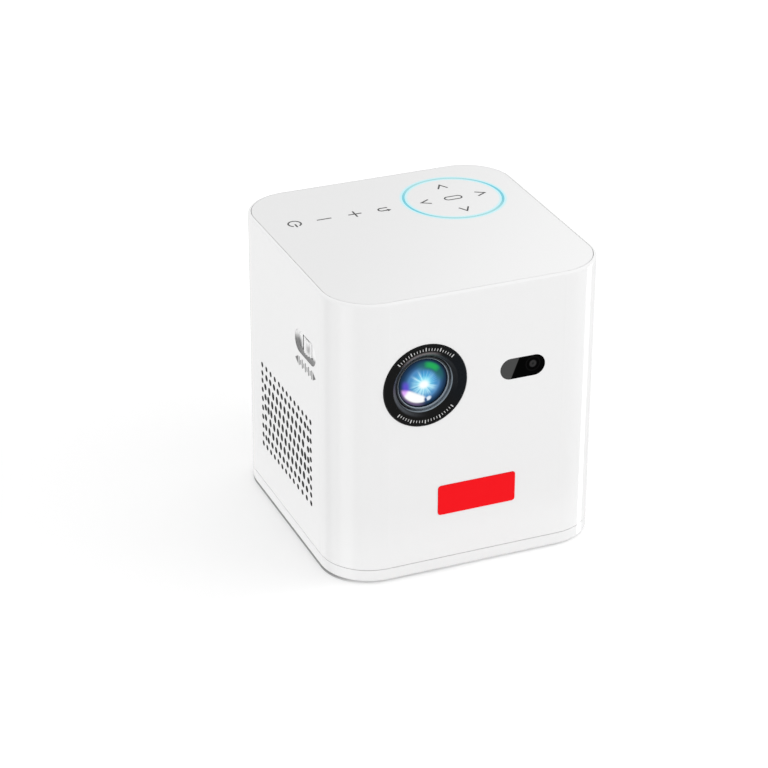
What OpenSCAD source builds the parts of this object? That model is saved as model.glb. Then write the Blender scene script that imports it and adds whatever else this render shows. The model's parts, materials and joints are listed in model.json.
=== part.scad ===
// Cube-shaped video projector with a touch panel, a side focus thumbwheel and a fan.
// Millimetres. The origin is on the table under the middle of the body, +Z is up,
// the lens looks along -Y and the focus wheel is on the -X side.

/* [Body] */
// Side of the square body, seen from above
body_w = 102; // [101:0.5:104]
// Height from the base plate's lower edge to the top panel
body_h = 107.1; // [106:0.1:110]
// Radius of the four upright corners
corner_r = 18.2; // [17:0.1:19]
// Thickness of the sleeve's wall
wall = 2; // [1.8:0.1:2.2]
// Width of the rounded rim outside the top panel
rim_w = 1.06; // [1:0.02:1.2]
// Height of the base plate's visible band
band_h = 4.5; // [4:0.1:5]
// Height of the shadow gap between the base plate and the sleeve
seam_gap = 0.25; // [0.1:0.05:0.4]
// How far the rubber feet hold the base plate off the table
foot_h = 0.8; // [0.5:0.1:1.2]

/* [Lens] */
// Lens axis, to the right of the body's middle
lens_x = -19.45; // [-20:0.05:-19]
// Height of the lens axis above the base plate's lower edge
lens_h = 74.06; // [73.5:0.02:74.5]
// Outside diameter of the black bezel
bezel_d = 30.9; // [30:0.1:32]
// Clear diameter of the front glass
glass_d = 18.4; // [17.8:0.1:18.8]
// How far the lens cell slides each way
lens_travel = 1.4; // [1:0.1:1.5]

/* [Focus wheel] */
// Diameter of the ribbed thumbwheel
wheel_d = 18; // [17:0.5:18]
// Thickness of the thumbwheel
wheel_t = 5.5; // [4.5:0.1:5.6]
// Place of the wheel's axle along the depth of the body
wheel_y = -19.8; // [-20:0.1:-19.5]
// Height of the wheel's middle above the base plate's lower edge
wheel_h = 80; // [79.5:0.1:80.5]
// How far the wheel's rim lies behind the side wall's face
wheel_recess = 0.15; // [0.1:0.05:0.3]
// Number of ribs round the wheel
wheel_ribs = 36; // [24:1:48]
// Depth of the dished scoop round the wheel
scoop_depth = 1; // [0.8:0.1:1.1]

/* [Grille] */
// Distance between the border columns' middles
grille_w = 48; // [46:1:50]
// Distance between the upper and lower borders' middles
grille_h = 32.33; // [30:0.1:34]
// Height of the grille's middle above the base plate's lower edge
grille_z = 36.77; // [35:0.1:38]
// Radius of the border holes
small_hole_r = 1.05; // [0.8:0.05:1.2]
// Radius of the ring of holes inside the border
large_hole_r = 1.25; // [1:0.05:1.4]
// Width of the oval holes in the middle
oval_w = 2.4; // [2:0.1:2.8]
// Height of the oval holes in the middle
oval_h = 3.2; // [2.6:0.1:3.4]

/* [Window, label and light ring] */
// Length of the sensor window
window_w = 17; // [16:0.1:18]
// Height of the sensor window
window_h = 7.95; // [7:0.05:8.5]
// Width of the red label
label_w = 29.4; // [28:0.1:31]
// Height of the red label
label_h = 11.5; // [10:0.05:12]
// Outside diameter of the light ring
ring_d = 37; // [35:0.1:38]
// Width of the light ring's line
ring_w = 0.9; // [0.6:0.1:1.2]

/* [Hidden] */
$fn = 64;

// Small amount by which a cutter passes the face that it cuts
cut = 1;
// Clearance between pieces of one assembly that don't touch
gap = 0.2;

// Body levels and faces
half = body_w / 2;
inside = half - wall;
z_base = foot_h;
z_seam = z_base + band_h;
z_top = z_base + body_h;
inner_corner_r = corner_r - wall;

// Base plate
floor_t = 2.5;
z_floor = z_base + floor_t;
base_edge_r = 0.8;
boss_r = 3.5;
boss_xy = 41.9;
z_boss = z_seam;
sleeve_boss_h = 20;
base_screw_r = 1.35;
base_screw_head_r = 2.7;
base_screw_head_h = 1.6;
base_screw_l = 12;
foot_r = 6;
foot_xy = 33;
foot_sink = 0.8;
lip_t = 1.2;
lip_l = 56;
lip_h = 2.2;
// Quarter-inch camera thread, drawn as a plain bore of its nominal radius
tripod_r = 3.175;
tripod_depth = 7;
insert_r = 4.6;
insert_h = 8.5;
tripod_boss_r = 7;
tripod_boss_h = 9;
// Slotted rails on the base plate that hold the main board's lower edge
rail_x = 30;
rail_size = [8, 4.8, 8];

// Top panel
panel_t = 2;
panel_gap = 0.2;
z_panel = z_top - panel_t;
ring_x = 22.9;
ring_y = 22.3;
ring_depth = 1.2;
key_y = 22.1;
key_xs = [-38.5, -27.3, -15.5, -4.3];
arrow_reach = 11;
touch_pad_r = 4;
touch_pad_h = 1.2;
touch_board_t = 1.2;
touch_board_size = [88, 42.5];
touch_board_y = 22.3;
z_touch_board = z_panel - touch_pad_h - touch_board_t;
panel_post_r = 1.8;
panel_posts = [[-41, 4], [-41, 40], [0, 40], [41, 4]];
ring_led_count = 12;
ring_led_w = 2;

// Lens: y values grow backward from the front face at -half
lens_z = z_base + lens_h;
bezel_proud = 0.3;
bezel_front_y = -half - bezel_proud;
bezel_flange_r = 16.1;
bezel_flange_t = 1;
bezel_flange_gap = 0.25;
bezel_bore_r = 10.45;
bezel_slope_out_r = 12;
bezel_slope_in_r = 10.7;
bezel_slope_h = 1.3;
cell_r = 10.1;
glass_r = glass_d / 2 + 0.2;
cell_front_y = -48.6;
cell_back_y = -14.7;
cell_shoulder_y = -44.2;
cell_throat_r = 8.6;
retaining_ring_t = 0.8;
front_dome_r = 40;
tube_r = 12.2;
tube_bore_r = cell_r + 0.05;
tube_front_y = -47.6;
engine_front_y = -8;
tube_flange_r = 15;
tube_flange_t = 2;
tube_screw_r = 1;
tube_screw_circle_r = 13.6;
rear_glass_r = 10.05;
rear_glass_front_y = -12.6;
rear_glass_back_y = -8.2;

// Focus wheel, pinion and rack
gear_module = 0.4;
pinion_teeth = 10;
pitch_r = gear_module * pinion_teeth / 2;
pressure_angle = 25;
addendum = 0.8 * gear_module;
dedendum = gear_module;
base_circle_r = pitch_r * cos(pressure_angle);
tooth_w = gear_module * PI / 2 - 0.05;
rack_teeth = 7;
wheel_r = wheel_d / 2;
wheel_x = -half + wheel_recess + wheel_r;
wheel_z = z_base + wheel_h;
wheel_rib_r = 0.38;
axle_r = 1;
axle_bore_r = 1.05;
axle_seat_r = 1.02;
axle_proud = 0.4;
pinion_z0 = wheel_z - wheel_t / 2 - 5.4;
pinion_h = 4.8;
arm_z0 = pinion_z0 + 0.5;
arm_h = 3.6;
arm_w = 9.2;
ear_t = 1.5;
ear_r = 3.5;
ear_gap = 0.2;
collar_r = 2.5;
collar_h = 0.6;
lower_ear_z = pinion_z0 - ear_gap - ear_t;
upper_ear_z = wheel_z + wheel_t / 2 + collar_h + ear_gap;
scoop_w = 19.8;
scoop_h = 8.55;
scoop_slope = 1.2;
scoop_steps = 8;
surround_t = 1.4;
surround_rim = 4;
slot_r = wheel_r + 0.4;
slot_h = wheel_t + 0.5;

// Grille: border holes stand at the lattice's pitch from one end, wider at the other
grille_columns = 13;
grille_even_columns = 9;
grille_side_holes = 10;
grille_side_starts = [0, 3.4, 6.45];
grille_wall = 0.8;
grille_pocket = 7;
grille_rows = 7;
grille_row_pitch = 4.18;
grille_pitch = 3.853;
grille_shift = 1.09;
grille_first_y = 19.78;
grille_end_y = [21.12, -21.5];
grille_keep_off = 2.7;
screen_t = 0.5;
screen_margin = 6;

// Front window and label
window_x = 17.06;
window_z = z_base + 74.1;
window_flange = 1;
window_flange_t = 0.8;
label_x = 0.55;
label_z = z_base + 27.8;
label_r = 1.2;
label_t = 0.5;
label_sink = 0.3;
camera_x = 20.9;
camera_z = z_base + 74.72;
receiver_x = 12;
receiver_size = [6, 7];
receiver_dome_r = 2.4;
camera_block = 8;
camera_barrel_r = 2.6;
camera_eye_r = 1.6;
camera_front_y = -44;
receiver_front_y = -45;
sensor_board_y = -40;
sensor_board_t = 1.2;
sensor_board_box = [6, 30, z_base + 65.2, z_base + 85.2];
sensor_bosses = [[8.5, z_base + 82.7], [27.5, z_base + 67.2]];

// Flat cables
flex_t = 0.3;
touch_flex_x = -30;
touch_flex_w = 10;
touch_flex_low = 50;
touch_flex_reach = 7;
touch_flex_r = 3;
dmd_flex_w = 14;
dmd_flex_low = 52;
dmd_flex_lap = 1.6;
dmd_flex_r = 2;
// Slot through the chassis plate for the lower cable
flex_slot = [18, 2.2];

// Chassis
plate_z = 58;
plate_t = 1.5;
plate_front_y = -46.5;
plate_back_y = 40;
plate_x = 46;
plate_corner_r = 10;
post_r = 2.5;
post_bore_r = 1.25;
post_bore_h = 8;
chassis_screw_r = 1.2;
chassis_screw_l = 7;
chassis_head_r = 2.3;
chassis_head_h = 1.5;
chassis_slot_h = 0.8;
post_places = [[-32, -44], [32, -44], [-43, 34], [43, 34]];

// Optical engine
engine_x = [-41, 37];
engine_y = [engine_front_y, 28];
engine_z = [plate_z + plate_t, 91.5];
engine_wall = 2;
cover_t = 1.5;
light_y = 12;
light_hole_r = 6;
image_hole_r = 9;
dmd_window = [19, 15];
dmd_board_t = 1.2;
dmd_board_size = [34, 28];
dmd_chip_size = [18, 1.6, 14];
prism_w = 20;
prism_y = [2, 22];
prism_gap = 0.4;
blue_x = 4;
red_x = 21;
led_board_w = 16;
led_board_t = 1.6;
collimator_r = 6;
collimator_t = 3;
mirror_w = 15;
mirror_t = 1.2;
mirror_h = 22;
fly_eye_x = -6;
fly_eye_w = 13;
fly_eye_t = 2.4;

// Cooling
fan_w = 40;
fan_t = 10;
fan_x = -inside + 0.7;
fan_z = z_base + grille_z;
fan_duct_r = 18.4;
fan_hub_r = 8;
fan_blade_r = 17.9;
fan_blades = 7;
fan_shaft_r = 1;
sink_x = [fan_x + fan_t, -6];
sink_y = [-18, 20];
sink_z = [18, plate_z];
sink_block_t = 5.6;
fin_t = 0.8;
fin_count = 12;
pipe_r = 2.5;
pipe_bend_r = 6;
pipe_y = -15.2;
pipe_places = [[5, 44], [13, 34]];
spreader_t = 3;

// Speaker, on an axis along X
speaker_y = 0;
speaker_z = 39;
speaker_front_x = 48.3;
speaker_r = 14;

magnet_r = 9;
magnet_h = 7;
basket_depth = 10;

// Battery
cell_radius = 9.1;
cell_length = 65;
battery_x = [18.4, 36.8];
battery_y0 = -36;
tray_t = 1.2;
tray_h = 9;

// Main board and rear sockets
board_y = 36;
board_t = 1.6;
board_x = 39;
board_z = [8, 57];
socket_z = 26;
socket_back_y = half - 0.7;
hdmi_x = -19;
usb_x = -2;
audio_x = 11;
power_x = 23;
hdmi_shell_t = 0.4;
usb_outer = [13.2, 5.8];
usb_inner = [12.5, 5.1];
socket_floor = 2;
// Headphone jack: the bore fits a 3.5 mm plug
audio_bore_r = 1.8;
audio_bore_l = 11;
audio_nose_r = 3;
audio_block = 7;
// Round power socket with a centre pin
power_r = 4;
power_bore_r = 2.9;
power_pin_r = 1;
power_depth = 9.5;
// Parts on the main board: middle x, middle z, width, height, thickness
chips = [
    [-4, 34, 18, 18, 3],
    [18, 36, 11, 9, 1.4],
    [18, 47, 11, 9, 1.4],
    [34, 40, 6, 6, 3.2],
    [34, 48, 6, 6, 3.2],
    [-34, 20, 7, 14, 4],
];
port_panel_x = 1.5;
port_panel_w = 60;
port_panel_h = 14;
port_panel_r = 3;
port_flange = 1.3;
port_flange_t = 1.2;

// ---------------------------------------------------------------- shared shapes

// Square plan of side w with corners of radius r
module rounded_square(w, h, r) {
    square([w - 2 * r, h], center = true);
    square([w, h - 2 * r], center = true);
    for (sx = [-1, 1], sy = [-1, 1]) {
        translate([sx * (w / 2 - r), sy * (h / 2 - r)])
            circle(r);
    }
}

module stadium(w, h) {
    square([w - h, h], center = true);
    for (s = [-1, 1]) {
        translate([s * (w - h) / 2, 0])
            circle(h / 2);
    }
}

// Extrudes a shape drawn in x and z backward from y0
module behind(y0, depth) {
    translate([0, y0 + depth, 0])
        rotate([90, 0, 0])
            linear_extrude(depth)
                children();
}

// Extrudes a shape drawn in y and z to the right from x0
module rightward(x0, depth) {
    translate([x0, 0, 0])
        rotate([90, 0, 90])
            linear_extrude(depth)
                children();
}

// Puts a shape that stands on z = 0 on the lens axis, pointing forward from y0
module on_lens_axis(y0) {
    translate([lens_x, y0, lens_z])
        rotate([90, 0, 0])
            children();
}

module lens_disc(r, y_front, y_back) {
    on_lens_axis(y_back)
        cylinder(r = r, h = y_back - y_front);
}

// Upright wall of height h whose lower edge is rounded by radius e
module edged_profile(reach, h, e) {
    translate([0, e])
        square([reach, h - e]);
    square([reach - e, h]);
    translate([reach - e, e])
        circle(e);
}

// Square block with rounded corners and one rounded edge, standing on z = 0
module edged_block(w, h, r, e) {
    for (sx = [-1, 1], sy = [-1, 1]) {
        translate([sx * (w / 2 - r), sy * (w / 2 - r), 0])
            rotate_extrude()
                edged_profile(r, h, e);
    }
    for (turn = [0, 90]) {
        rotate([90, 0, turn])
            linear_extrude(w - 2 * r, center = true)
                for (side = [0, 1]) {
                    mirror([side, 0])
                        edged_profile(w / 2, h, e);
                }
    }
}

// ---------------------------------------------------------------- casing

function row_end(k) = k == 0 || k == grille_rows - 1;

// How near a lattice hole may come to the end hole of inner grille row k
function keep_off(k) = row_end(k) ? -1 : grille_keep_off;

// Slanted lattice of inner grille row k, counted from the top, from the back forward
function lattice(k) = [
    for (i = [-2 : 14])
        let (y = grille_first_y + k * grille_shift - i * grille_pitch)
            if (y < grille_end_y[0] - keep_off(k) && y > grille_end_y[1] + keep_off(k)) y
];

// A hole halfway between two that lie too far apart
function filler(a, b) = abs(a - b) > 1.4 * grille_pitch ? [(a + b) / 2] : [];

// The round holes of row k: the first and last rows' lattice, the other rows' two ends
function large_holes(k) = row_end(k) ? lattice(k) : grille_end_y;

// The oval holes of row k, between its two end holes
function oval_holes(k) =
    let (row = lattice(k))
        row_end(k) ? [] : concat(
            row,
            filler(row[0], grille_end_y[0]),
            filler(row[len(row) - 1], grille_end_y[1])
        );

// The first and last rows have a small hole at one end, where the lattice leaves room
function small_end(k) = k == 0 ? [grille_end_y[1]] : k == grille_rows - 1 ? [grille_end_y[0]] : [];

// How far hole i of the upper border lies behind the border's front end
function border_y(i) =
    let (even = grille_even_columns - 1, even_w = even * grille_pitch)
        i <= even ? i * grille_pitch
        : even_w + (i - even) * (grille_w - even_w) / (grille_columns - 1 - even);

// How far hole j of the rear border lies below the border's top
function border_z(j) =
    let (last = len(grille_side_starts) - 1, start = grille_side_starts[last])
        j <= last ? grille_side_starts[j]
        : start + (j - last) * (grille_h - start) / (grille_side_holes - 1 - last);

// The lower and front borders are the upper and rear ones turned half round
module grille_holes() {
    z_mid = z_base + grille_z;
    for (s = [-1, 1]) {
        for (i = [0 : grille_columns - 1]) {
            translate([s * (border_y(i) - grille_w / 2), z_mid + s * grille_h / 2])
                circle(small_hole_r, $fn = 24);
        }
        for (j = [1 : grille_side_holes - 2]) {
            translate([s * grille_w / 2, z_mid + s * (grille_h / 2 - border_z(j))])
                circle(small_hole_r, $fn = 24);
        }
    }
    for (k = [0 : grille_rows - 1]) {
        row_z = z_mid + ((grille_rows - 1) / 2 - k) * grille_row_pitch;
        for (y = large_holes(k)) {
            translate([y, row_z])
                circle(large_hole_r, $fn = 24);
        }
        for (y = oval_holes(k)) {
            translate([y, row_z])
                scale([oval_w, oval_h])
                    circle(0.5, $fn = 24);
        }
        for (y = small_end(k)) {
            translate([y, row_z])
                circle(small_hole_r, $fn = 24);
        }
    }
}

// Half outline of the scoop, as [half height, depth]: dished, then straight through
function scoop_profile() = concat(
    [for (i = [0 : scoop_steps])
        let (t = 90 * i / scoop_steps)
            [scoop_h / 2 - scoop_slope * (1 - cos(t)), scoop_depth * sin(t)]
    ],
    [[scoop_h / 2 - scoop_slope, wall + cut]]
);

// Opening of the focus scoop through the side wall
module focus_scoop() {
    straight = scoop_w - scoop_h;
    side = scoop_profile();
    last = len(side) - 1;
    for (s = [-1, 1]) {
        translate([-half, wheel_y + s * straight / 2, wheel_z])
            rotate([0, 90, 0])
                rotate_extrude()
                    polygon(concat([[0, wall + cut], [0, -cut], [scoop_h / 2, -cut]], side));
    }
    translate([-half, wheel_y + straight / 2, wheel_z])
        rotate([90, 0, 0])
            linear_extrude(straight)
                polygon(concat(
                    [[-cut, -scoop_h / 2], [-cut, scoop_h / 2]],
                    [for (p = side) [p[1], p[0]]],
                    [for (i = [last : -1 : 0]) [side[i][1], -side[i][0]]]
                ));
}

// Room behind the grille for the dust screen, which leaves a thin wall
module grille_recess() {
    translate([0, z_base + grille_z])
        rounded_square(grille_w + grille_pocket, grille_h + grille_pocket, 2);
}

module outer_sleeve() {
    opening = body_w - 2 * rim_w;
    z_low = z_seam + seam_gap;
    color("white")
        difference() {
            union() {
                difference() {
                    translate([0, 0, z_top])
                        mirror([0, 0, 1])
                            edged_block(body_w, z_top - z_low, corner_r, rim_w - 0.06);
                    translate([0, 0, z_low - cut])
                        linear_extrude(body_h + 2 * cut)
                            rounded_square(2 * inside, 2 * inside, inner_corner_r);
                    translate([0, 0, z_panel])
                        linear_extrude(panel_t + cut)
                            rounded_square(opening, opening, corner_r - rim_w);
                }
                for (sx = [-1, 1], sy = [-1, 1]) {
                    translate([sx * boss_xy, sy * boss_xy, z_boss])
                        cylinder(r = boss_r, h = sleeve_boss_h);
                }
                for (p = sensor_bosses) {
                    translate([p[0], sensor_board_y, p[1]])
                        rotate([90, 0, 0])
                            cylinder(r = 2, h = inside + sensor_board_y + wall / 2);
                }
            }
            for (sx = [-1, 1], sy = [-1, 1]) {
                translate([sx * boss_xy, sy * boss_xy, z_boss - cut])
                    cylinder(r = base_screw_r + 0.05, h = base_screw_l + cut);
            }
            lens_disc(bezel_d / 2 + 0.1, -half - cut, -inside + cut);
            behind(-half - cut, wall + 2 * cut)
                translate([window_x, window_z])
                    stadium(window_w, window_h);
            behind(-half - cut, label_sink + cut)
                translate([label_x, label_z])
                    rounded_square(label_w + gap, label_h + gap, label_r);
            focus_scoop();
            for (x = [-half - cut, inside - cut]) {
                rightward(x, wall + 2 * cut)
                    grille_holes();
            }
            for (x = [-half + grille_wall, inside - cut]) {
                rightward(x, wall - grille_wall + cut)
                    grille_recess();
            }
            behind(inside - cut, wall + 2 * cut)
                translate([port_panel_x, socket_z])
                    rounded_square(port_panel_w, port_panel_h, port_panel_r);
        }
}

module top_panel() {
    side = body_w - 2 * rim_w - 2 * panel_gap;
    color("gainsboro")
        difference() {
            union() {
                translate([0, 0, z_panel])
                    linear_extrude(panel_t)
                        rounded_square(side, side, corner_r - rim_w - panel_gap);
                for (p = panel_posts) {
                    translate([p[0], p[1], z_panel - touch_pad_h])
                        cylinder(r = panel_post_r, h = touch_pad_h + panel_t / 2);
                }
                for (turn = [0 : 90 : 270]) {
                    rotate([0, 0, turn])
                        translate([-lip_l / 2, inside - gap - lip_t, z_panel - 3])
                            cube([lip_l, lip_t, 3 + panel_t / 2]);
                }
            }
            translate([ring_x, ring_y, z_top - ring_depth])
                ring_shape(ring_depth + cut);
        }
}

module ring_shape(h) {
    linear_extrude(h)
        difference() {
            circle(ring_d / 2, $fn = 96);
            circle(ring_d / 2 - ring_w, $fn = 96);
        }
}

module light_ring() {
    color("deepskyblue")
        translate([ring_x, ring_y, z_top - ring_depth])
            ring_shape(ring_depth);
}

module touch_board() {
    color("darkgreen")
        translate([0, touch_board_y, z_touch_board])
            linear_extrude(touch_board_t)
                rounded_square(touch_board_size[0], touch_board_size[1], 2);
}

// Conductive foam pads between the board and the keys
module touch_pads() {
    color("dimgray")
        translate([0, 0, z_touch_board + touch_board_t]) {
            for (x = key_xs) {
                translate([x, key_y, 0])
                    cylinder(r = touch_pad_r, h = touch_pad_h);
            }
            translate([ring_x, ring_y, 0])
                cylinder(r = touch_pad_r, h = touch_pad_h);
            for (turn = [0 : 90 : 270]) {
                translate([ring_x, ring_y, 0])
                    rotate([0, 0, turn])
                        translate([arrow_reach, 0, 0])
                            cylinder(r = touch_pad_r, h = touch_pad_h);
            }
        }
}

module ring_leds() {
    color("aliceblue")
        for (i = [0 : ring_led_count - 1]) {
            translate([ring_x, ring_y, z_touch_board + touch_board_t])
                rotate([0, 0, 15 + i * 360 / ring_led_count])
                    translate([ring_d / 2 - ring_w / 2 - ring_led_w / 2, -ring_led_w / 2, 0])
                        cube([ring_led_w, ring_led_w, touch_pad_h - gap]);
        }
}

module base_plate() {
    pocket = 2 * inside;
    lip_inset = inside - 0.15 - lip_t;
    color("white")
        difference() {
            union() {
                difference() {
                    translate([0, 0, z_base])
                        edged_block(body_w, band_h, corner_r, base_edge_r);
                    translate([0, 0, z_floor])
                        linear_extrude(band_h)
                            rounded_square(pocket, pocket, inner_corner_r);
                }
                for (sx = [-1, 1], sy = [-1, 1]) {
                    translate([sx * boss_xy, sy * boss_xy, z_floor - cut])
                        cylinder(r = boss_r, h = z_boss - z_floor + cut);
                }
                for (turn = [0 : 90 : 270]) {
                    rotate([0, 0, turn])
                        translate([-lip_l / 2, lip_inset, z_floor - cut])
                            cube([lip_l, lip_t, z_seam + lip_h - z_floor + cut]);
                }
                translate([0, 0, z_floor - cut])
                    cylinder(r = tripod_boss_r, h = tripod_boss_h - floor_t + cut);
                for (s = [-1, 1]) {
                    translate([
                        s * rail_x - rail_size[0] / 2,
                        board_y + board_t / 2 - rail_size[1] / 2,
                        z_floor - cut,
                    ])
                        cube([rail_size[0], rail_size[1], rail_size[2] + cut]);
                }
            }
            for (s = [-1, 1]) {
                translate([s * rail_x - rail_size[0] / 2 - cut, board_y - gap / 2, board_z[0]])
                    cube([rail_size[0] + 2 * cut, board_t + gap, rail_size[2]]);
            }
            for (sx = [-1, 1], sy = [-1, 1]) {
                translate([sx * boss_xy, sy * boss_xy, z_base - cut]) {
                    cylinder(r = base_screw_r + 0.35, h = z_boss - z_base + 2 * cut);
                    cylinder(r = base_screw_head_r + 0.3, h = base_screw_head_h + 0.4 + cut);
                }
                translate([sx * foot_xy, sy * foot_xy, z_base - cut])
                    cylinder(r = foot_r, h = foot_sink + cut);
            }
            translate([0, 0, z_base - cut])
                cylinder(r = insert_r, h = insert_h + cut);
        }
}

module rubber_feet() {
    color("dimgray")
        for (sx = [-1, 1], sy = [-1, 1]) {
            translate([sx * foot_xy, sy * foot_xy, 0])
                cylinder(r = foot_r, h = foot_h + foot_sink);
        }
}

module base_screws() {
    head_z = z_base + 0.4;
    color("silver")
        for (sx = [-1, 1], sy = [-1, 1]) {
            translate([sx * boss_xy, sy * boss_xy, head_z])
                difference() {
                    union() {
                        cylinder(r = base_screw_head_r, h = base_screw_head_h);
                        cylinder(r = base_screw_r, h = base_screw_l);
                    }
                    translate([0, 0, -cut])
                        cross_slot(cut + 0.9);
                }
        }
}

module cross_slot(depth) {
    for (turn = [0, 90]) {
        rotate([0, 0, turn])
            translate([-1.5, -0.35, 0])
                cube([3, 0.7, depth]);
    }
}

module tripod_insert() {
    color("goldenrod")
        translate([0, 0, z_base])
            difference() {
                cylinder(r = insert_r, h = insert_h);
                translate([0, 0, -cut])
                    cylinder(r = tripod_r, h = tripod_depth + cut);
            }
}

module front_label() {
    color("red")
        behind(-half + label_sink - label_t, label_t)
            translate([label_x, label_z])
                rounded_square(label_w, label_h, label_r - gap / 2);
}

module sensor_window() {
    color("black") {
        behind(-half, wall)
            translate([window_x, window_z])
                stadium(window_w - 0.1, window_h - 0.1);
        behind(-inside, window_flange_t)
            translate([window_x, window_z])
                stadium(window_w + 2 * window_flange, window_h + 2 * window_flange);
    }
}

module camera_module() {
    barrel_l = camera_front_y + inside - window_flange_t - gap;
    color("dimgray") {
        translate([camera_x, camera_front_y, camera_z])
            rotate([90, 0, 0])
                difference() {
                    cylinder(r = camera_barrel_r, h = barrel_l);
                    translate([0, 0, barrel_l - 1])
                        cylinder(r = camera_eye_r, h = 1 + cut);
                }
        translate([camera_x - camera_block / 2, camera_front_y, camera_z - camera_block / 2])
            cube([camera_block, sensor_board_y - camera_front_y, camera_block]);
    }
}

module infrared_receiver() {
    w = receiver_size[0];
    h = receiver_size[1];
    color("black") {
        translate([receiver_x - w / 2, receiver_front_y, camera_z - h / 2])
            cube([w, sensor_board_y - receiver_front_y, h]);
        translate([receiver_x, receiver_front_y, camera_z])
            sphere(r = receiver_dome_r);
    }
}

module sensor_board() {
    color("darkgreen")
        translate([sensor_board_box[0], sensor_board_y, sensor_board_box[2]])
            cube([
                sensor_board_box[1] - sensor_board_box[0],
                sensor_board_t,
                sensor_board_box[3] - sensor_board_box[2],
            ]);
}

// ---------------------------------------------------------------- lens

module lens_bezel() {
    back = -inside + bezel_flange_gap + bezel_flange_t;
    depth = back - bezel_front_y;
    slope_z = depth - bezel_slope_h;
    edge = 0.3;
    color("black")
        on_lens_axis(back)
            rotate_extrude()
                polygon([
                    [bezel_bore_r, 0],
                    [bezel_flange_r, 0],
                    [bezel_flange_r, bezel_flange_t],
                    [bezel_d / 2, bezel_flange_t],
                    [bezel_d / 2, depth - edge],
                    [bezel_d / 2 - edge, depth],
                    [bezel_slope_out_r, depth],
                    [bezel_slope_in_r, slope_z],
                    [bezel_bore_r, slope_z - 0.25],
                ]);
}

module lens_tube() {
    slot_l = arm_w + 2 * lens_travel + 1.2;
    color("dimgray")
        difference() {
            union() {
                lens_disc(tube_r, tube_front_y, engine_front_y);
                lens_disc(tube_flange_r, engine_front_y - tube_flange_t, engine_front_y);
            }
            lens_disc(tube_bore_r, tube_front_y - cut, engine_front_y + cut);
            translate([lens_x - tube_r - cut, wheel_y - slot_l / 2, arm_z0 - 0.5])
                cube([tube_r, slot_l, arm_h + 1]);
            for (turn = [90, 210, 330]) {
                on_lens_axis(engine_front_y + cut)
                    rotate([0, 0, turn])
                        translate([tube_screw_circle_r, 0, 0])
                            cylinder(r = tube_screw_r, h = tube_flange_t + 2 * cut);
            }
        }
}

// Sliding cell with a side arm that carries the rack
module lens_cell() {
    arm_end_x = wheel_x + pitch_r + dedendum;
    color("gray")
        difference() {
            union() {
                lens_disc(cell_r, cell_front_y, cell_back_y);
                translate([arm_end_x, wheel_y - arm_w / 2, arm_z0])
                    cube([lens_x - cell_r + 1 - arm_end_x, arm_w, arm_h]);
                translate([0, 0, arm_z0])
                    linear_extrude(arm_h)
                        rack_teeth_shape();
            }
            lens_disc(glass_r, cell_front_y - cut, cell_shoulder_y);
            lens_disc(cell_throat_r, cell_front_y, cell_back_y + cut);
        }
}

module rack_teeth_shape() {
    root_x = wheel_x + pitch_r + dedendum;
    tip_x = wheel_x + pitch_r - addendum;
    root_half = tooth_w / 2 + dedendum * tan(pressure_angle);
    tip_half = tooth_w / 2 - addendum * tan(pressure_angle);
    for (i = [0 : rack_teeth - 1]) {
        y = wheel_y + (i - (rack_teeth - 1) / 2) * gear_module * PI;
        polygon([
            [root_x + 0.2, y - root_half],
            [root_x, y - root_half],
            [tip_x, y - tip_half],
            [tip_x, y + tip_half],
            [root_x, y + root_half],
            [root_x + 0.2, y + root_half],
        ]);
    }
}

module front_lens_element() {
    front_edge = cell_front_y;
    sag = front_dome_r - sqrt(pow(front_dome_r, 2) - pow(glass_r, 2));
    color("lightblue", 0.6)
        intersection() {
            lens_disc(glass_r - 0.02, front_edge - 2 * sag, cell_shoulder_y);
            translate([lens_x, front_edge - sag + front_dome_r, lens_z])
                sphere(r = front_dome_r, $fn = 128);
        }
}

module lens_retaining_ring() {
    color("black")
        on_lens_axis(cell_front_y)
            rotate_extrude()
                polygon([
                    [glass_r + 0.1, 0],
                    [cell_r - 0.1, 0],
                    [cell_r - 0.1, retaining_ring_t - 0.2],
                    [cell_r - 0.3, retaining_ring_t],
                    [glass_d / 2 + 0.25, retaining_ring_t],
                    [glass_d / 2, 0.5],
                    [glass_d / 2, 0.3],
                ]);
}

module rear_lens_element() {
    color("lightblue", 0.6)
        lens_disc(rear_glass_r, rear_glass_front_y, rear_glass_back_y);
}

// ---------------------------------------------------------------- focus drive

// Polar angle, in degrees, of the involute at radius r
function involute_angle(r) =
    let (roll = sqrt(max(0, pow(r / base_circle_r, 2) - 1)))
        roll * 180 / PI - atan(roll);

function tooth_half_angle(r) =
    tooth_w / 2 / pitch_r * 180 / PI + involute_angle(pitch_r) - involute_angle(r);

function polar(r, a) = [r * cos(a), r * sin(a)];

module pinion_shape() {
    root_r = pitch_r - dedendum;
    tip_r = pitch_r + addendum;
    steps = 4;
    radii = [for (i = [0 : steps]) base_circle_r + (tip_r - base_circle_r) * i / steps];
    right = [for (r = radii) polar(r, -tooth_half_angle(r))];
    left = [for (i = [steps : -1 : 0]) polar(radii[i], tooth_half_angle(radii[i]))];
    foot = tooth_half_angle(base_circle_r);
    circle(root_r);
    for (i = [0 : pinion_teeth - 1]) {
        rotate([0, 0, (i + 0.5) * 360 / pinion_teeth])
            polygon(concat(
                [polar(root_r - 0.1, -foot)], right,
                left, [polar(root_r - 0.1, foot)]
            ));
    }
}

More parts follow.
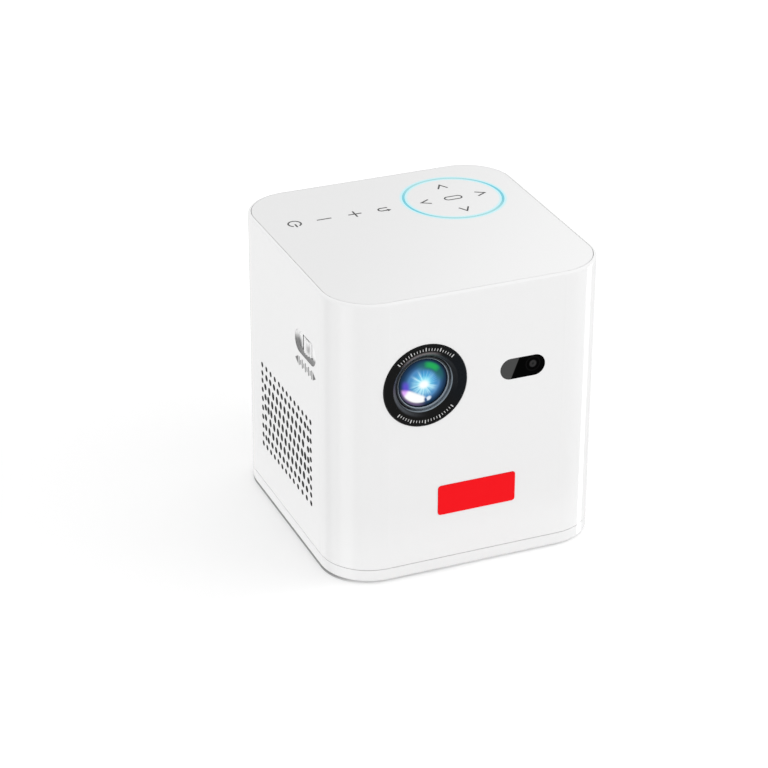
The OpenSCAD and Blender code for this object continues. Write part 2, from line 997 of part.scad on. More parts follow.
module focus_wheel() {
    color("lightgray")
        translate([wheel_x, wheel_y, 0])
            difference() {
                union() {
                    translate([0, 0, wheel_z - wheel_t / 2])
                        linear_extrude(wheel_t) {
                            circle(wheel_r - wheel_rib_r);
                            for (i = [0 : wheel_ribs - 1]) {
                                rotate([0, 0, i * 360 / wheel_ribs])
                                    translate([wheel_r - wheel_rib_r, 0])
                                        circle(wheel_rib_r, $fn = 16);
                            }
                        }
                    translate([0, 0, wheel_z + wheel_t / 2])
                        cylinder(r = collar_r, h = collar_h);
                    translate([0, 0, pinion_z0 + pinion_h])
                        cylinder(r = collar_r, h = wheel_z - wheel_t / 2 - pinion_z0 - pinion_h);
                    translate([0, 0, pinion_z0])
                        linear_extrude(pinion_h)
                            pinion_shape();
                }
                translate([0, 0, pinion_z0 - cut])
                    cylinder(r = axle_bore_r, h = upper_ear_z - pinion_z0 + 2 * cut);
            }
}

module focus_axle() {
    color("silver")
        translate([wheel_x, wheel_y, lower_ear_z - axle_proud])
            cylinder(r = axle_r, h = upper_ear_z + ear_t - lower_ear_z + 2 * axle_proud);
}

// Web screwed to the engine's front wall, with an ear above and below the wheel
module focus_bracket() {
    web_t = 1.6;
    web_y = engine_front_y - web_t;
    web_x = [wheel_x - 4.5, -35.5];
    screw_x = -37.5;
    screw_zs = [lower_ear_z + 3, upper_ear_z - 2];
    color("silver")
        difference() {
            union() {
                translate([web_x[0], web_y, lower_ear_z])
                    cube([web_x[1] - web_x[0], web_t, upper_ear_z + ear_t - lower_ear_z]);
                for (z = [lower_ear_z, upper_ear_z]) {
                    translate([wheel_x - ear_r, wheel_y, z])
                        cube([2 * ear_r, web_y - wheel_y + web_t / 2, ear_t]);
                    translate([wheel_x, wheel_y, z])
                        cylinder(r = ear_r, h = ear_t);
                }
            }
            translate([wheel_x, wheel_y, lower_ear_z - cut])
                cylinder(r = axle_seat_r, h = upper_ear_z + ear_t - lower_ear_z + 2 * cut);
            for (z = screw_zs) {
                translate([screw_x, web_y - cut, z])
                    rotate([-90, 0, 0])
                        cylinder(r = tube_screw_r, h = web_t + 2 * cut);
            }
        }
}

// Plate behind the scoop whose raised middle fills the opening round the wheel
module focus_surround() {
    inner_w = scoop_w - 2 * scoop_slope - gap;
    inner_h = scoop_h - 2 * scoop_slope - gap;
    color("white")
        difference() {
            union() {
                rightward(-inside, surround_t)
                    translate([wheel_y, wheel_z])
                        rounded_square(scoop_w + surround_rim, scoop_h + surround_rim, 2);
                rightward(-half + scoop_depth, wall - scoop_depth + surround_t / 2)
                    translate([wheel_y, wheel_z])
                        stadium(inner_w, inner_h);
            }
            translate([wheel_x, wheel_y, wheel_z - slot_h / 2])
                cylinder(r = slot_r, h = slot_h, $fn = 96);
        }
}

// ---------------------------------------------------------------- optical engine

module engine_housing() {
    size = [engine_x[1] - engine_x[0], engine_y[1] - engine_y[0], engine_z[1] - engine_z[0]];
    floor_z = engine_z[0] + engine_wall;
    color("dimgray")
        difference() {
            union() {
                difference() {
                    translate([engine_x[0], engine_y[0], engine_z[0]])
                        cube(size);
                    translate([engine_x[0] + engine_wall, engine_y[0] + engine_wall, floor_z])
                        cube([size[0] - 2 * engine_wall, size[1] - 2 * engine_wall, size[2]]);
                }
                translate([lens_x - prism_w / 2, prism_y[0], floor_z - cut])
                    cube([prism_w, prism_y[1] - prism_y[0], lens_z - prism_w / 2 - floor_z + cut]);
                translate([fly_eye_x - 1, light_y - fly_eye_w / 2, floor_z - cut])
                    cube([fly_eye_t + 2, fly_eye_w, lens_z - fly_eye_w / 2 - floor_z + cut]);
                for (x = [blue_x, red_x]) {
                    translate([x - 4, engine_y[0] + engine_wall, floor_z - cut])
                        cube([8, collimator_t, lens_z - collimator_r - floor_z + cut]);
                }
                translate([engine_x[1] - engine_wall - collimator_t, light_y - 4, floor_z - cut])
                    cube([collimator_t, 8, lens_z - collimator_r - floor_z + cut]);
            }
            on_lens_axis(engine_y[0] + engine_wall + cut)
                cylinder(r = image_hole_r, h = engine_wall + 2 * cut);
            for (x = [blue_x, red_x]) {
                translate([x, engine_y[0] + engine_wall + cut, lens_z])
                    rotate([90, 0, 0])
                        cylinder(r = light_hole_r, h = engine_wall + 2 * cut);
            }
            translate([engine_x[1] - engine_wall - cut, light_y, lens_z])
                rotate([0, 90, 0])
                    cylinder(r = light_hole_r, h = engine_wall + 2 * cut);
            behind(engine_y[1] - engine_wall - cut, engine_wall + 2 * cut)
                translate([lens_x, lens_z])
                    square(dmd_window, center = true);
        }
}

module engine_cover() {
    color("silver")
        translate([(engine_x[0] + engine_x[1]) / 2, (engine_y[0] + engine_y[1]) / 2, engine_z[1]])
            linear_extrude(cover_t)
                rounded_square(
                    engine_x[1] - engine_x[0],
                    engine_y[1] - engine_y[0],
                    1.5
                );
}

// Star board with its emitter, facing +Z, its back on z = 0
module led_star() {
    translate([-led_board_w / 2, -led_board_w / 2, 0])
        cube([led_board_w, led_board_w, led_board_t]);
    translate([-2, -2, led_board_t])
        cube([4, 4, 0.8]);
}

module front_led(x) {
    translate([x, engine_front_y - led_board_t, lens_z])
        rotate([-90, 0, 0])
            led_star();
}

module red_led_module() {
    color("tomato")
        front_led(red_x);
}

module blue_led_module() {
    color("royalblue")
        front_led(blue_x);
}

module green_led_module() {
    color("mediumseagreen")
        translate([engine_x[1] + led_board_t, light_y, lens_z])
            rotate([0, -90, 0])
                led_star();
}

// Plano-convex lens that stands on z = 0 with its dome up
module plano_convex() {
    dome_r = 9;
    intersection() {
        cylinder(r = collimator_r, h = collimator_t);
        translate([0, 0, collimator_t - dome_r])
            sphere(r = dome_r);
    }
}

module collimator_lenses() {
    color("lightcyan", 0.6) {
        for (x = [blue_x, red_x]) {
            translate([x, engine_y[0] + engine_wall, lens_z])
                rotate([-90, 0, 0])
                    plano_convex();
        }
        translate([engine_x[1] - engine_wall, light_y, lens_z])
            rotate([0, -90, 0])
                plano_convex();
    }
}

module dichroic_mirrors() {
    color("plum", 0.6)
        for (x = [blue_x, red_x]) {
            translate([x, light_y, engine_z[0] + engine_wall])
                rotate([0, 0, 45])
                    translate([-mirror_w / 2, -mirror_t / 2, 0])
                        cube([mirror_w, mirror_t, mirror_h]);
        }
}

// Plate of small lenses that evens out the light
module fly_eye_lens() {
    count = 4;
    lenslet = 3;
    bump_r = 4;
    color("lightcyan", 0.6) {
        translate([fly_eye_x, light_y - fly_eye_w / 2, lens_z - fly_eye_w / 2])
            cube([fly_eye_t - 0.6, fly_eye_w, fly_eye_w]);
        intersection() {
            translate([fly_eye_x, light_y - fly_eye_w / 2, lens_z - fly_eye_w / 2])
                cube([fly_eye_t, fly_eye_w, fly_eye_w]);
            for (i = [0 : count - 1], j = [0 : count - 1]) {
                translate([
                    fly_eye_x + fly_eye_t - 0.3 - bump_r,
                    light_y + (i - (count - 1) / 2) * lenslet,
                    lens_z + (j - (count - 1) / 2) * lenslet,
                ])
                    sphere(r = bump_r, $fn = 24);
            }
        }
    }
}

// Two wedges with a thin air gap between their slanted faces
module tir_prism() {
    x = [lens_x - prism_w / 2, lens_x + prism_w / 2];
    color("lightcyan", 0.6)
        translate([0, 0, lens_z - prism_w / 2])
            linear_extrude(prism_w) {
                polygon([
                    [x[0] + prism_gap, prism_y[0]],
                    [x[1], prism_y[0]],
                    [x[1], prism_y[1] - prism_gap],
                ]);
                polygon([
                    [x[0], prism_y[0] + prism_gap],
                    [x[1] - prism_gap, prism_y[1]],
                    [x[0], prism_y[1]],
                ]);
            }
}

module dmd_chip() {
    color("slategray")
        translate([
            lens_x - dmd_chip_size[0] / 2,
            engine_y[1] - dmd_chip_size[1],
            lens_z - dmd_chip_size[2] / 2,
        ])
            cube(dmd_chip_size);
}

module dmd_board() {
    color("darkgreen")
        behind(engine_y[1], dmd_board_t)
            translate([lens_x, lens_z])
                rounded_square(dmd_board_size[0], dmd_board_size[1], 1);
}

module dmd_heat_sink() {
    base_t = 2;
    fins = 7;
    w = 26;
    h = 24;
    depth = 11;
    y0 = engine_y[1] + dmd_board_t;
    color("silver") {
        translate([lens_x - w / 2, y0, lens_z - h / 2])
            cube([w, base_t, h]);
        for (i = [0 : fins - 1]) {
            translate([lens_x - w / 2 + i * (w - 1) / (fins - 1), y0, lens_z - h / 2])
                cube([1, depth, h]);
        }
    }
}

// ---------------------------------------------------------------- cooling

// Copper plate behind the front LEDs that wraps round the corner to the side LED
module led_heat_spreader() {
    y0 = engine_front_y - led_board_t - spreader_t;
    x0 = blue_x - led_board_w / 2;
    x1 = engine_x[1] + led_board_t;
    color("peru")
        translate([0, 0, lens_z - led_board_w / 2])
            linear_extrude(led_board_w) {
                translate([x0, y0])
                    square([x1 + spreader_t - x0, spreader_t]);
                translate([x1, y0])
                    square([spreader_t, light_y + led_board_w / 2 - y0]);
            }
}

// Pipe down the spreader, round a bend and through the heat sink's block
module heat_pipe(x, z) {
    top_z = lens_z + led_board_w / 2;
    translate([x, pipe_y, z + pipe_bend_r])
        cylinder(r = pipe_r, h = top_z - z - pipe_bend_r);
    translate([x - pipe_bend_r, pipe_y, z + pipe_bend_r])
        rotate([90, 90, 0])
            rotate_extrude(angle = 90)
                translate([pipe_bend_r, 0])
                    circle(pipe_r);
    translate([sink_x[0] + 2, pipe_y, z])
        rotate([0, 90, 0])
            cylinder(r = pipe_r, h = x - pipe_bend_r - sink_x[0] - 2);
}

module heat_pipes() {
    color("peru")
        for (p = pipe_places) {
            heat_pipe(p[0], p[1]);
        }
}

module heat_sink() {
    pitch = (sink_z[1] - sink_z[0] - fin_t) / (fin_count - 1);
    color("silver")
        difference() {
            rightward(sink_x[0], sink_x[1] - sink_x[0]) {
                translate([sink_y[0], sink_z[0]])
                    square([sink_block_t, sink_z[1] - sink_z[0]]);
                for (i = [0 : fin_count - 1]) {
                    translate([sink_y[0], sink_z[0] + i * pitch])
                        square([sink_y[1] - sink_y[0], fin_t]);
                }
            }
            for (p = pipe_places) {
                translate([sink_x[0] - cut, pipe_y, p[1]])
                    rotate([0, 90, 0])
                        cylinder(r = pipe_r + 0.03, h = sink_x[1] - sink_x[0] + 2 * cut);
            }
        }
}

module fan_frame() {
    hub_t = 1.4;
    screw_xy = fan_w / 2 - 4;
    back = fan_t - hub_t;
    color("dimgray")
        translate([fan_x, 0, fan_z])
            rotate([0, 90, 0]) {
                difference() {
                    linear_extrude(fan_t)
                        rounded_square(fan_w, fan_w, 3);
                    translate([0, 0, -cut])
                        cylinder(r = fan_duct_r, h = fan_t + 2 * cut);
                    for (sx = [-1, 1], sy = [-1, 1]) {
                        translate([sx * screw_xy, sy * screw_xy, -cut])
                            cylinder(r = 1.6, h = fan_t + 2 * cut);
                    }
                }
                translate([0, 0, back])
                    cylinder(r = fan_hub_r, h = hub_t);
                for (turn = [45 : 90 : 315]) {
                    rotate([0, 0, turn])
                        translate([fan_hub_r - 1, -1, back])
                            cube([fan_duct_r - fan_hub_r + 1.5, 2, hub_t]);
                }
                translate([0, 0, 1.5])
                    cylinder(r = fan_shaft_r, h = back - 1);
            }
}

module fan_rotor() {
    hub_z = 0.8;
    hub_h = 7.4;
    blade_w = 7.6;
    color("black")
        translate([fan_x, 0, fan_z])
            rotate([0, 90, 0])
                difference() {
                    union() {
                        translate([0, 0, hub_z])
                            cylinder(r = fan_hub_r, h = hub_h);
                        intersection() {
                            translate([0, 0, hub_z])
                                cylinder(r = fan_blade_r, h = hub_h);
                            for (i = [0 : fan_blades - 1]) {
                                rotate([0, 0, i * 360 / fan_blades])
                                    translate([fan_hub_r - 1, 0, hub_z + hub_h / 2])
                                        rotate([38, 0, 0])
                                            translate([0, -blade_w / 2, -0.5])
                                                cube([fan_blade_r, blade_w, 1]);
                            }
                        }
                    }
                    translate([0, 0, 1.3])
                        cylinder(r = axle_bore_r, h = fan_t);
                }
}

// Thin mesh sheets behind both grilles, drawn plain
module dust_screens() {
    color("black")
        for (x = [-half + grille_wall, half - grille_wall - screen_t]) {
            rightward(x, screen_t)
                translate([0, fan_z])
                    rounded_square(grille_w + screen_margin, grille_h + screen_margin, 2);
        }
}

// ---------------------------------------------------------------- speaker

module on_speaker_axis(x) {
    translate([x, speaker_y, speaker_z])
        rotate([0, 90, 0])
            children();
}

module speaker_basket() {
    depth = basket_depth;
    color("dimgray")
        on_speaker_axis(speaker_front_x - depth)
            rotate_extrude()
                polygon([
                    [3, 0],
                    [magnet_r, 0],
                    [speaker_r - 2, depth - 1.5],
                    [speaker_r, depth - 1.5],
                    [speaker_r, depth],
                    [speaker_r - 3, depth],
                    [magnet_r - 1.2, 1.2],
                    [3, 1.2],
                ]);
}

module speaker_cone() {
    depth = 6;
    color("black")
        on_speaker_axis(speaker_front_x - 1.5 - depth)
            rotate_extrude()
                polygon([
                    [0, 0.4],
                    [4, 0],
                    [10.4, depth],
                    [10, depth + 0.5],
                    [3.8, 0.7],
                    [0, 1.1],
                ]);
}

module speaker_magnet() {
    color("silver")
        on_speaker_axis(speaker_front_x - basket_depth - magnet_h)
            cylinder(r = magnet_r, h = magnet_h);
}

// ---------------------------------------------------------------- battery

module battery_cells() {
    color("steelblue")
        for (x = battery_x) {
            translate([x, battery_y0 + cell_length, z_floor + tray_t + cell_radius]) {
                rotate([90, 0, 0])
                    cylinder(r = cell_radius, h = cell_length);
            }
        }
}

module battery_tray() {
    x0 = battery_x[0] - cell_radius - gap;
    x1 = battery_x[1] + cell_radius + gap;
    y0 = battery_y0 - gap;
    y1 = battery_y0 + cell_length + gap;
    color("gray")
        translate([0, 0, z_floor])
            difference() {
                translate([x0 - tray_t, y0 - tray_t, 0])
                    cube([x1 - x0 + 2 * tray_t, y1 - y0 + 2 * tray_t, tray_h]);
                translate([x0, y0, tray_t])
                    cube([x1 - x0, y1 - y0, tray_h]);
            }
}

// ---------------------------------------------------------------- electronics

module main_board() {
    color("darkgreen")
        translate([-board_x, board_y, board_z[0]])
            cube([2 * board_x, board_t, board_z[1] - board_z[0]]);
}

// Processor with its spreader, memory, inductors and connectors on the board's front
module board_chips() {
    color("darkslategray") {
        for (c = chips) {
            translate([c[0] - c[2] / 2, board_y - c[4], c[1] - c[3] / 2])
                cube([c[2], c[4], c[3]]);
        }
    }
}

// Metal shell and tongue of a socket, drawn in x and z around its middle
module hdmi_outline() {
    polygon([[-7.5, 2.8], [7.5, 2.8], [7.5, -0.6], [5.6, -2.8], [-5.6, -2.8], [-7.5, -0.6]]);
}

module hdmi_socket() {
    inner = 1 - 2 * hdmi_shell_t / 15;
    shell_y = board_y + board_t;
    color("silver")
        difference() {
            behind(shell_y, socket_back_y - shell_y)
                translate([hdmi_x, socket_z])
                    hdmi_outline();
            behind(shell_y + socket_floor, socket_back_y - shell_y)
                translate([hdmi_x, socket_z])
                    difference() {
                        scale(inner)
                            hdmi_outline();
                        translate([-5.5, -0.2])
                            square([11, 1]);
                    }
        }
}

module usb_socket() {
    shell_y = board_y + board_t;
    color("silver")
        difference() {
            behind(shell_y, socket_back_y - shell_y)
                translate([usb_x, socket_z])
                    square(usb_outer, center = true);
            behind(shell_y + socket_floor, socket_back_y - shell_y)
                translate([usb_x, socket_z])
                    difference() {
                        square(usb_inner, center = true);
                        translate([-5.5, 0.2])
                            square([11, 1.8]);
                    }
        }
}

module audio_socket() {
    shell_y = board_y + board_t;
    color("black")
        difference() {
            union() {
                translate([audio_x - audio_block / 2, shell_y, socket_z - audio_block / 2])
                    cube([audio_block, inside - port_flange_t - gap - shell_y, audio_block]);
                translate([audio_x, socket_back_y, socket_z])
                    rotate([90, 0, 0])
                        cylinder(r = audio_nose_r, h = socket_back_y - shell_y);
            }
            translate([audio_x, socket_back_y + cut, socket_z])
                rotate([90, 0, 0])
                    cylinder(r = audio_bore_r, h = audio_bore_l + cut);
        }
}

module power_socket() {
    shell_y = board_y + board_t;
    color("black")
        translate([power_x, socket_back_y, socket_z])
            rotate([90, 0, 0]) {
                difference() {
                    cylinder(r = power_r, h = socket_back_y - shell_y);
                    translate([0, 0, -cut])
                        cylinder(r = power_bore_r, h = power_depth + cut);
                }
                translate([0, 0, 1.5])
                    cylinder(r = power_pin_r, h = power_depth);
            }
}

module port_panel() {
    color("black")
        difference() {
            union() {
                behind(inside, wall - 0.3)
                    translate([port_panel_x, socket_z])
                        rounded_square(port_panel_w - gap, port_panel_h - gap, port_panel_r);
                behind(inside - port_flange_t, port_flange_t)
                    translate([port_panel_x, socket_z])
                        rounded_square(
                            port_panel_w + 2 * port_flange,
                            port_panel_h + 2 * port_flange,
                            port_panel_r + port_flange
                        );
            }
            behind(inside - port_flange_t - cut, wall + port_flange_t + 2 * cut) {
                translate([hdmi_x, socket_z])
                    scale(1.03)
                        hdmi_outline();
                translate([usb_x, socket_z])
                    square([usb_outer[0] + 2 * gap, usb_outer[1] + 2 * gap], center = true);
                translate([audio_x, socket_z])
                    circle(audio_nose_r + gap);
                translate([power_x, socket_z])
                    circle(power_r + gap);
            }
        }
}

// ---------------------------------------------------------------- chassis

module chassis_plate() {
    mid_y = (plate_front_y + plate_back_y) / 2;
    color("silver")
        translate([0, 0, plate_z])
            difference() {
                linear_extrude(plate_t)
                    translate([0, mid_y])
                        rounded_square(2 * plate_x, plate_back_y - plate_front_y, plate_corner_r);
                for (p = pipe_places) {
                    translate([p[0], pipe_y, -cut])
                        cylinder(r = pipe_r + 0.5, h = plate_t + 2 * cut);
                }
                for (p = post_places) {
                    translate([p[0], p[1], -cut])
                        cylinder(r = post_bore_r + 0.1, h = plate_t + 2 * cut);
                }
                translate([lens_x, board_y - flex_t / 2, plate_t / 2])
                    cube([flex_slot[0], flex_slot[1], plate_t + 2 * cut], center = true);
            }
}

module chassis_posts() {
    color("goldenrod")
        for (p = post_places) {
            translate([p[0], p[1], z_floor])
                difference() {
                    cylinder(r = post_r, h = plate_z - z_floor);
                    translate([0, 0, plate_z - z_floor - post_bore_h])
                        cylinder(r = post_bore_r, h = post_bore_h + cut);
                }
        }
}

module chassis_screws() {
    color("silver")
        for (p = post_places) {
            translate([p[0], p[1], plate_z + plate_t])
                difference() {
                    union() {
                        cylinder(r = chassis_head_r, h = chassis_head_h);
                        translate([0, 0, -chassis_screw_l])
                            cylinder(r = chassis_screw_r, h = chassis_screw_l);
                    }
                    translate([0, 0, chassis_head_h - chassis_slot_h])
                        cross_slot(chassis_slot_h + cut);
                }
        }
}

// Flat cable bent round a corner, drawn in y and z as an outline less the same outline set in
module flex_bend(w, h, r) {
    difference() {
        rounded_square(w, h, r);
        rounded_square(w - 2 * flex_t, h - 2 * flex_t, r - flex_t);
        translate([-w, -h])
            square([w, 2 * h]);
    }
}

// One cable from the touch board to the main board's back, one from the DMD board to its front
module flex_cables() {
    touch_h = z_touch_board - touch_flex_low;
    dmd_y = engine_y[1] + dmd_board_t;
    dmd_top = lens_z - dmd_board_size[1] / 2 + dmd_flex_lap;
    dmd_h = dmd_top - dmd_flex_low;
    color("orange") {
        rightward(touch_flex_x, touch_flex_w)
            translate([board_y + board_t, touch_flex_low + touch_h / 2])
                flex_bend(2 * touch_flex_reach, touch_h, touch_flex_r);
        rightward(lens_x - dmd_flex_w / 2, dmd_flex_w)
            translate([dmd_y, dmd_flex_low])
                difference() {
                    flex_bend(2 * (board_y - dmd_y), 2 * dmd_h, dmd_flex_r);
                    translate([0, -2 * dmd_h])
                        square([board_y, 2 * dmd_h]);
                }
    }
}

outer_sleeve();
top_panel();
light_ring();
touch_board();
touch_pads();
ring_leds();
base_plate();
rubber_feet();
base_screws();
tripod_insert();
front_label();
sensor_window();
camera_module();
infrared_receiver();
sensor_board();
lens_bezel();
lens_tube();
lens_cell();
front_lens_element();
lens_retaining_ring();
rear_lens_element();
focus_wheel();
focus_axle();
focus_bracket();
focus_surround();
engine_housing();
engine_cover();
red_led_module();
green_led_module();
blue_led_module();
collimator_lenses();
dichroic_mirrors();
fly_eye_lens();
tir_prism();
dmd_chip();
dmd_board();
dmd_heat_sink();
led_heat_spreader();
heat_pipes();
heat_sink();
fan_frame();
fan_rotor();
dust_screens();
speaker_basket();
speaker_cone();
speaker_magnet();
battery_cells();
battery_tray();
main_board();
board_chips();
hdmi_socket();
usb_socket();
audio_socket();
power_socket();
port_panel();
chassis_plate();
chassis_posts();
chassis_screws();
flex_cables();
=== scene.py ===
import json
import math

import bmesh
import bpy
from mathutils import Matrix, Vector


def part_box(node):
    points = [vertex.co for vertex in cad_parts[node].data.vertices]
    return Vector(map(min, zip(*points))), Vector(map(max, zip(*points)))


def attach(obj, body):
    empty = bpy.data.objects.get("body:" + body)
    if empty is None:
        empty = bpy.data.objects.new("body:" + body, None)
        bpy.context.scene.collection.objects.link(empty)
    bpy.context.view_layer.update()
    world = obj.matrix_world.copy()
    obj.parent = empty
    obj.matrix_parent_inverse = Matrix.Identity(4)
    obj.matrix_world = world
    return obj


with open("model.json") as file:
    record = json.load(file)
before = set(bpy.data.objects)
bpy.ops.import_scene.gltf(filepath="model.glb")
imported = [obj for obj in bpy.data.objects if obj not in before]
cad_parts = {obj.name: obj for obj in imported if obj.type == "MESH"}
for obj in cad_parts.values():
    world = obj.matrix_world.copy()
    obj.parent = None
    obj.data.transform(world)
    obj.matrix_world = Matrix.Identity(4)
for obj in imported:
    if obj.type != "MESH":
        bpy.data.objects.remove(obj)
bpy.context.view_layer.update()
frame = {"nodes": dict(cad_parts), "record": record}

MM = 0.001

# ---------------------------------------------------------------- places, in millimetres
# The frame's own measures: the table is z = 0, the lens looks along -Y


def box_mm(node):
    """A node's lowest and highest corners, in millimetres."""
    low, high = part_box(node)
    return low / MM, high / MM


def middle_mm(node):
    low, high = box_mm(node)
    return (low + high) / 2


LEFT_X = box_mm("outer_sleeve")[0].x
TOP_Z = box_mm("top_panel")[1].z
BEZEL_Y = box_mm("lens_bezel")[0].y
LENS = middle_mm("lens_bezel")
WHEEL = middle_mm("focus_surround")
RING = middle_mm("light_ring")
RING_R = (box_mm("light_ring")[1].x - box_mm("light_ring")[0].x) / 2
WINDOW_LOW, WINDOW_HIGH = box_mm("sensor_window")
SCREEN_LOW, SCREEN_HIGH = box_mm("dust_screens")

# Radii of the body's upright corners, the front glass and the lens surround's bore
CORNER_R, GLASS_R, LIP_R = 18.2, 9.2, 10.45
# Scoop round the focus wheel
SCOOP_W, SCOOP_H = 19.8, 8.55
# Middles of the four keys beside the light ring
KEY_Y = 22.1
KEY_X = {"power": -38.5, "minus": -27.3, "plus": -15.5, "back": -4.3}

# ---------------------------------------------------------------- camera

# Fitted to the body's outline in the photo
PHOTO_PX = 768
SENSOR_MM = 36.0
FOCAL_PX = 2696.48
CAMERA_MM = (-346.71, -795.17, 494.70)
CAMERA_AZIMUTH = -22.749
CAMERA_ELEVATION = 27.289
CAMERA_ROLL = 0.213
CLIP_START_M, CLIP_END_M = 0.01, 50


def add_camera():
    data = bpy.data.cameras.new("photo_camera")
    data.lens = SENSOR_MM * FOCAL_PX / PHOTO_PX
    data.sensor_width = SENSOR_MM
    data.clip_start = CLIP_START_M
    data.clip_end = CLIP_END_M
    camera = bpy.data.objects.new("photo_camera", data)
    camera.matrix_world = (
        Matrix.Translation(Vector(CAMERA_MM) * MM)
        @ Matrix.Rotation(math.radians(CAMERA_AZIMUTH), 4, "Z")
        @ Matrix.Rotation(math.radians(90 - CAMERA_ELEVATION), 4, "X")
        @ Matrix.Rotation(math.radians(CAMERA_ROLL), 4, "Z")
    )
    bpy.context.scene.collection.objects.link(camera)
    bpy.context.scene.camera = camera


# ---------------------------------------------------------------- node helpers


def linear(red, green, blue):
    """An sRGB colour of 0 to 255 as the linear colour that Blender's sockets take."""

    def one(value):
        value /= 255
        return value / 12.92 if value <= 0.04045 else ((value + 0.055) / 1.055) ** 2.4

    return (one(red), one(green), one(blue), 1.0)


def grey(value):
    return linear(value, value, value)


class Nodes:
    """Short names for the nodes of one tree. Positions are in millimetres."""

    def __init__(self, tree):
        self.tree = tree

    def add(self, kind, **settings):
        node = self.tree.nodes.new(kind)
        for name, value in settings.items():
            setattr(node, name, value)
        return node

    def feed(self, socket, value):
        """Links value to the socket, or sets it if it is a plain number or colour."""
        if isinstance(value, bpy.types.NodeSocket):
            self.tree.links.new(value, socket)
        else:
            socket.default_value = value

    def maths(self, operation, *values):
        node = self.add("ShaderNodeMath", operation=operation)
        for socket, value in zip(node.inputs, values):
            self.feed(socket, value)
        return node.outputs[0]

    def vector(self, operation, *values):
        node = self.add("ShaderNodeVectorMath", operation=operation)
        for socket, value in zip(node.inputs, values):
            self.feed(socket, value)
        return node.outputs["Value" if operation == "LENGTH" else "Vector"]

    def fade(self, value, start, end, low=0.0, high=1.0):
        """Runs smoothly from low at start to high at end, and stays there."""
        node = self.add("ShaderNodeMapRange", interpolation_type="SMOOTHSTEP")
        for socket, given in zip(node.inputs, (value, start, end, low, high)):
            self.feed(socket, given)
        return node.outputs[0]

    def within(self, value, low, high, soft):
        """1 between low and high and 0 outside, with soft edges."""
        rise = self.fade(value, low - soft, low + soft)
        fall = self.fade(value, high - soft, high + soft, 1.0, 0.0)
        return self.maths("MULTIPLY", rise, fall)

    def both(self, *masks):
        total = masks[0]
        for mask in masks[1:]:
            total = self.maths("MULTIPLY", total, mask)
        return total

    def mix(self, mask, under, over):
        node = self.add("ShaderNodeMix", data_type="RGBA")
        self.feed(node.inputs[0], mask)
        self.feed(node.inputs[6], under)
        self.feed(node.inputs[7], over)
        return node.outputs[2]

    def split(self, vector):
        node = self.add("ShaderNodeSeparateXYZ")
        self.feed(node.inputs[0], vector)
        return node.outputs[0], node.outputs[1], node.outputs[2]


class Surface(Nodes):
    """A material around one Principled shader."""

    def __init__(self, name, colour, roughness, **sockets):
        self.material = bpy.data.materials.new(name)
        self.material.use_nodes = True
        super().__init__(self.material.node_tree)
        self.shader = self.tree.nodes["Principled BSDF"]
        self.set("Base Color", colour)
        self.set("Roughness", roughness)
        for socket, value in sockets.items():
            self.set(socket.replace("_", " ").title().replace("Ior", "IOR"), value)
        scaled = self.vector("SCALE", self.add("ShaderNodeTexCoord").outputs["Object"])
        scaled.node.inputs["Scale"].default_value = 1 / MM
        self.place = scaled
        self.x, self.y, self.z = self.split(self.place)

    def set(self, socket, value):
        self.feed(self.shader.inputs[socket], value)

    def noise(self, size, detail=2.0, stretch=(1, 1, 1), place=None):
        """Noise whose features are about size millimetres, longer where stretch is over 1."""
        vector = self.vector("DIVIDE", place or self.place, tuple(size * s for s in stretch))
        node = self.add("ShaderNodeTexNoise")
        self.feed(node.inputs["Vector"], vector)
        node.inputs["Scale"].default_value = 1.0
        node.inputs["Detail"].default_value = detail
        return node.outputs["Fac"]

    def bump(self, height, depth):
        """Raises the surface by height, which runs from 0 to 1, times depth millimetres."""
        node = self.add("ShaderNodeBump")
        node.inputs["Distance"].default_value = depth * MM
        self.feed(node.inputs["Height"], height)
        self.set("Normal", node.outputs["Normal"])

    def vary(self, socket, value, low, high):
        """Drives a shader socket between low and high by value, which runs from 0 to 1."""
        self.set(socket, self.fade(value, 0.3, 0.7, low, high))

    def radius(self, centre, keep):
        """Distance from an axis through centre, where keep has a 1 for each axis that counts."""
        away = self.vector("SUBTRACT", self.place, tuple(centre))
        return self.vector("LENGTH", self.vector("MULTIPLY", away, keep))

    def lens_place(self):
        """Distance from the lens axis, and the offsets x and z from it."""
        x = self.maths("SUBTRACT", self.x, LENS.x)
        z = self.maths("SUBTRACT", self.z, LENS.z)
        return self.radius(LENS, (1, 0, 1)), x, z

    def sector(self, x, z, middle, half, soft):
        """Mask of the directions within half degrees of middle, from offsets x and z."""
        length = self.maths("SQRT", self.maths("ADD", self.square(x), self.square(z)))
        along = self.maths("MULTIPLY", x, math.cos(math.radians(middle)))
        along = self.maths("ADD", along, self.maths("MULTIPLY", z, math.sin(math.radians(middle))))
        facing = self.maths("DIVIDE", along, self.maths("MAXIMUM", length, 0.01))
        outer = math.cos(math.radians(min(180, half + soft)))
        return self.fade(facing, outer, math.cos(math.radians(max(0, half - soft))))

    def square(self, value):
        return self.maths("MULTIPLY", value, value)

    def ellipse(self, x, z, half_x, half_z, turn, soft):
        """Mask of an ellipse on the front, at x and z from the lens axis, turned in degrees."""
        away = self.vector("SUBTRACT", self.place, (LENS.x + x, 0, LENS.z + z))
        spin = self.add("ShaderNodeVectorRotate", rotation_type="Y_AXIS")
        self.feed(spin.inputs["Vector"], away)
        spin.inputs["Angle"].default_value = math.radians(turn)
        scaled = self.vector("MULTIPLY", spin.outputs[0], (1 / half_x, 0, 1 / half_z))
        return self.fade(self.vector("LENGTH", scaled), 1 + soft, max(0, 1 - soft))


# ---------------------------------------------------------------- materials


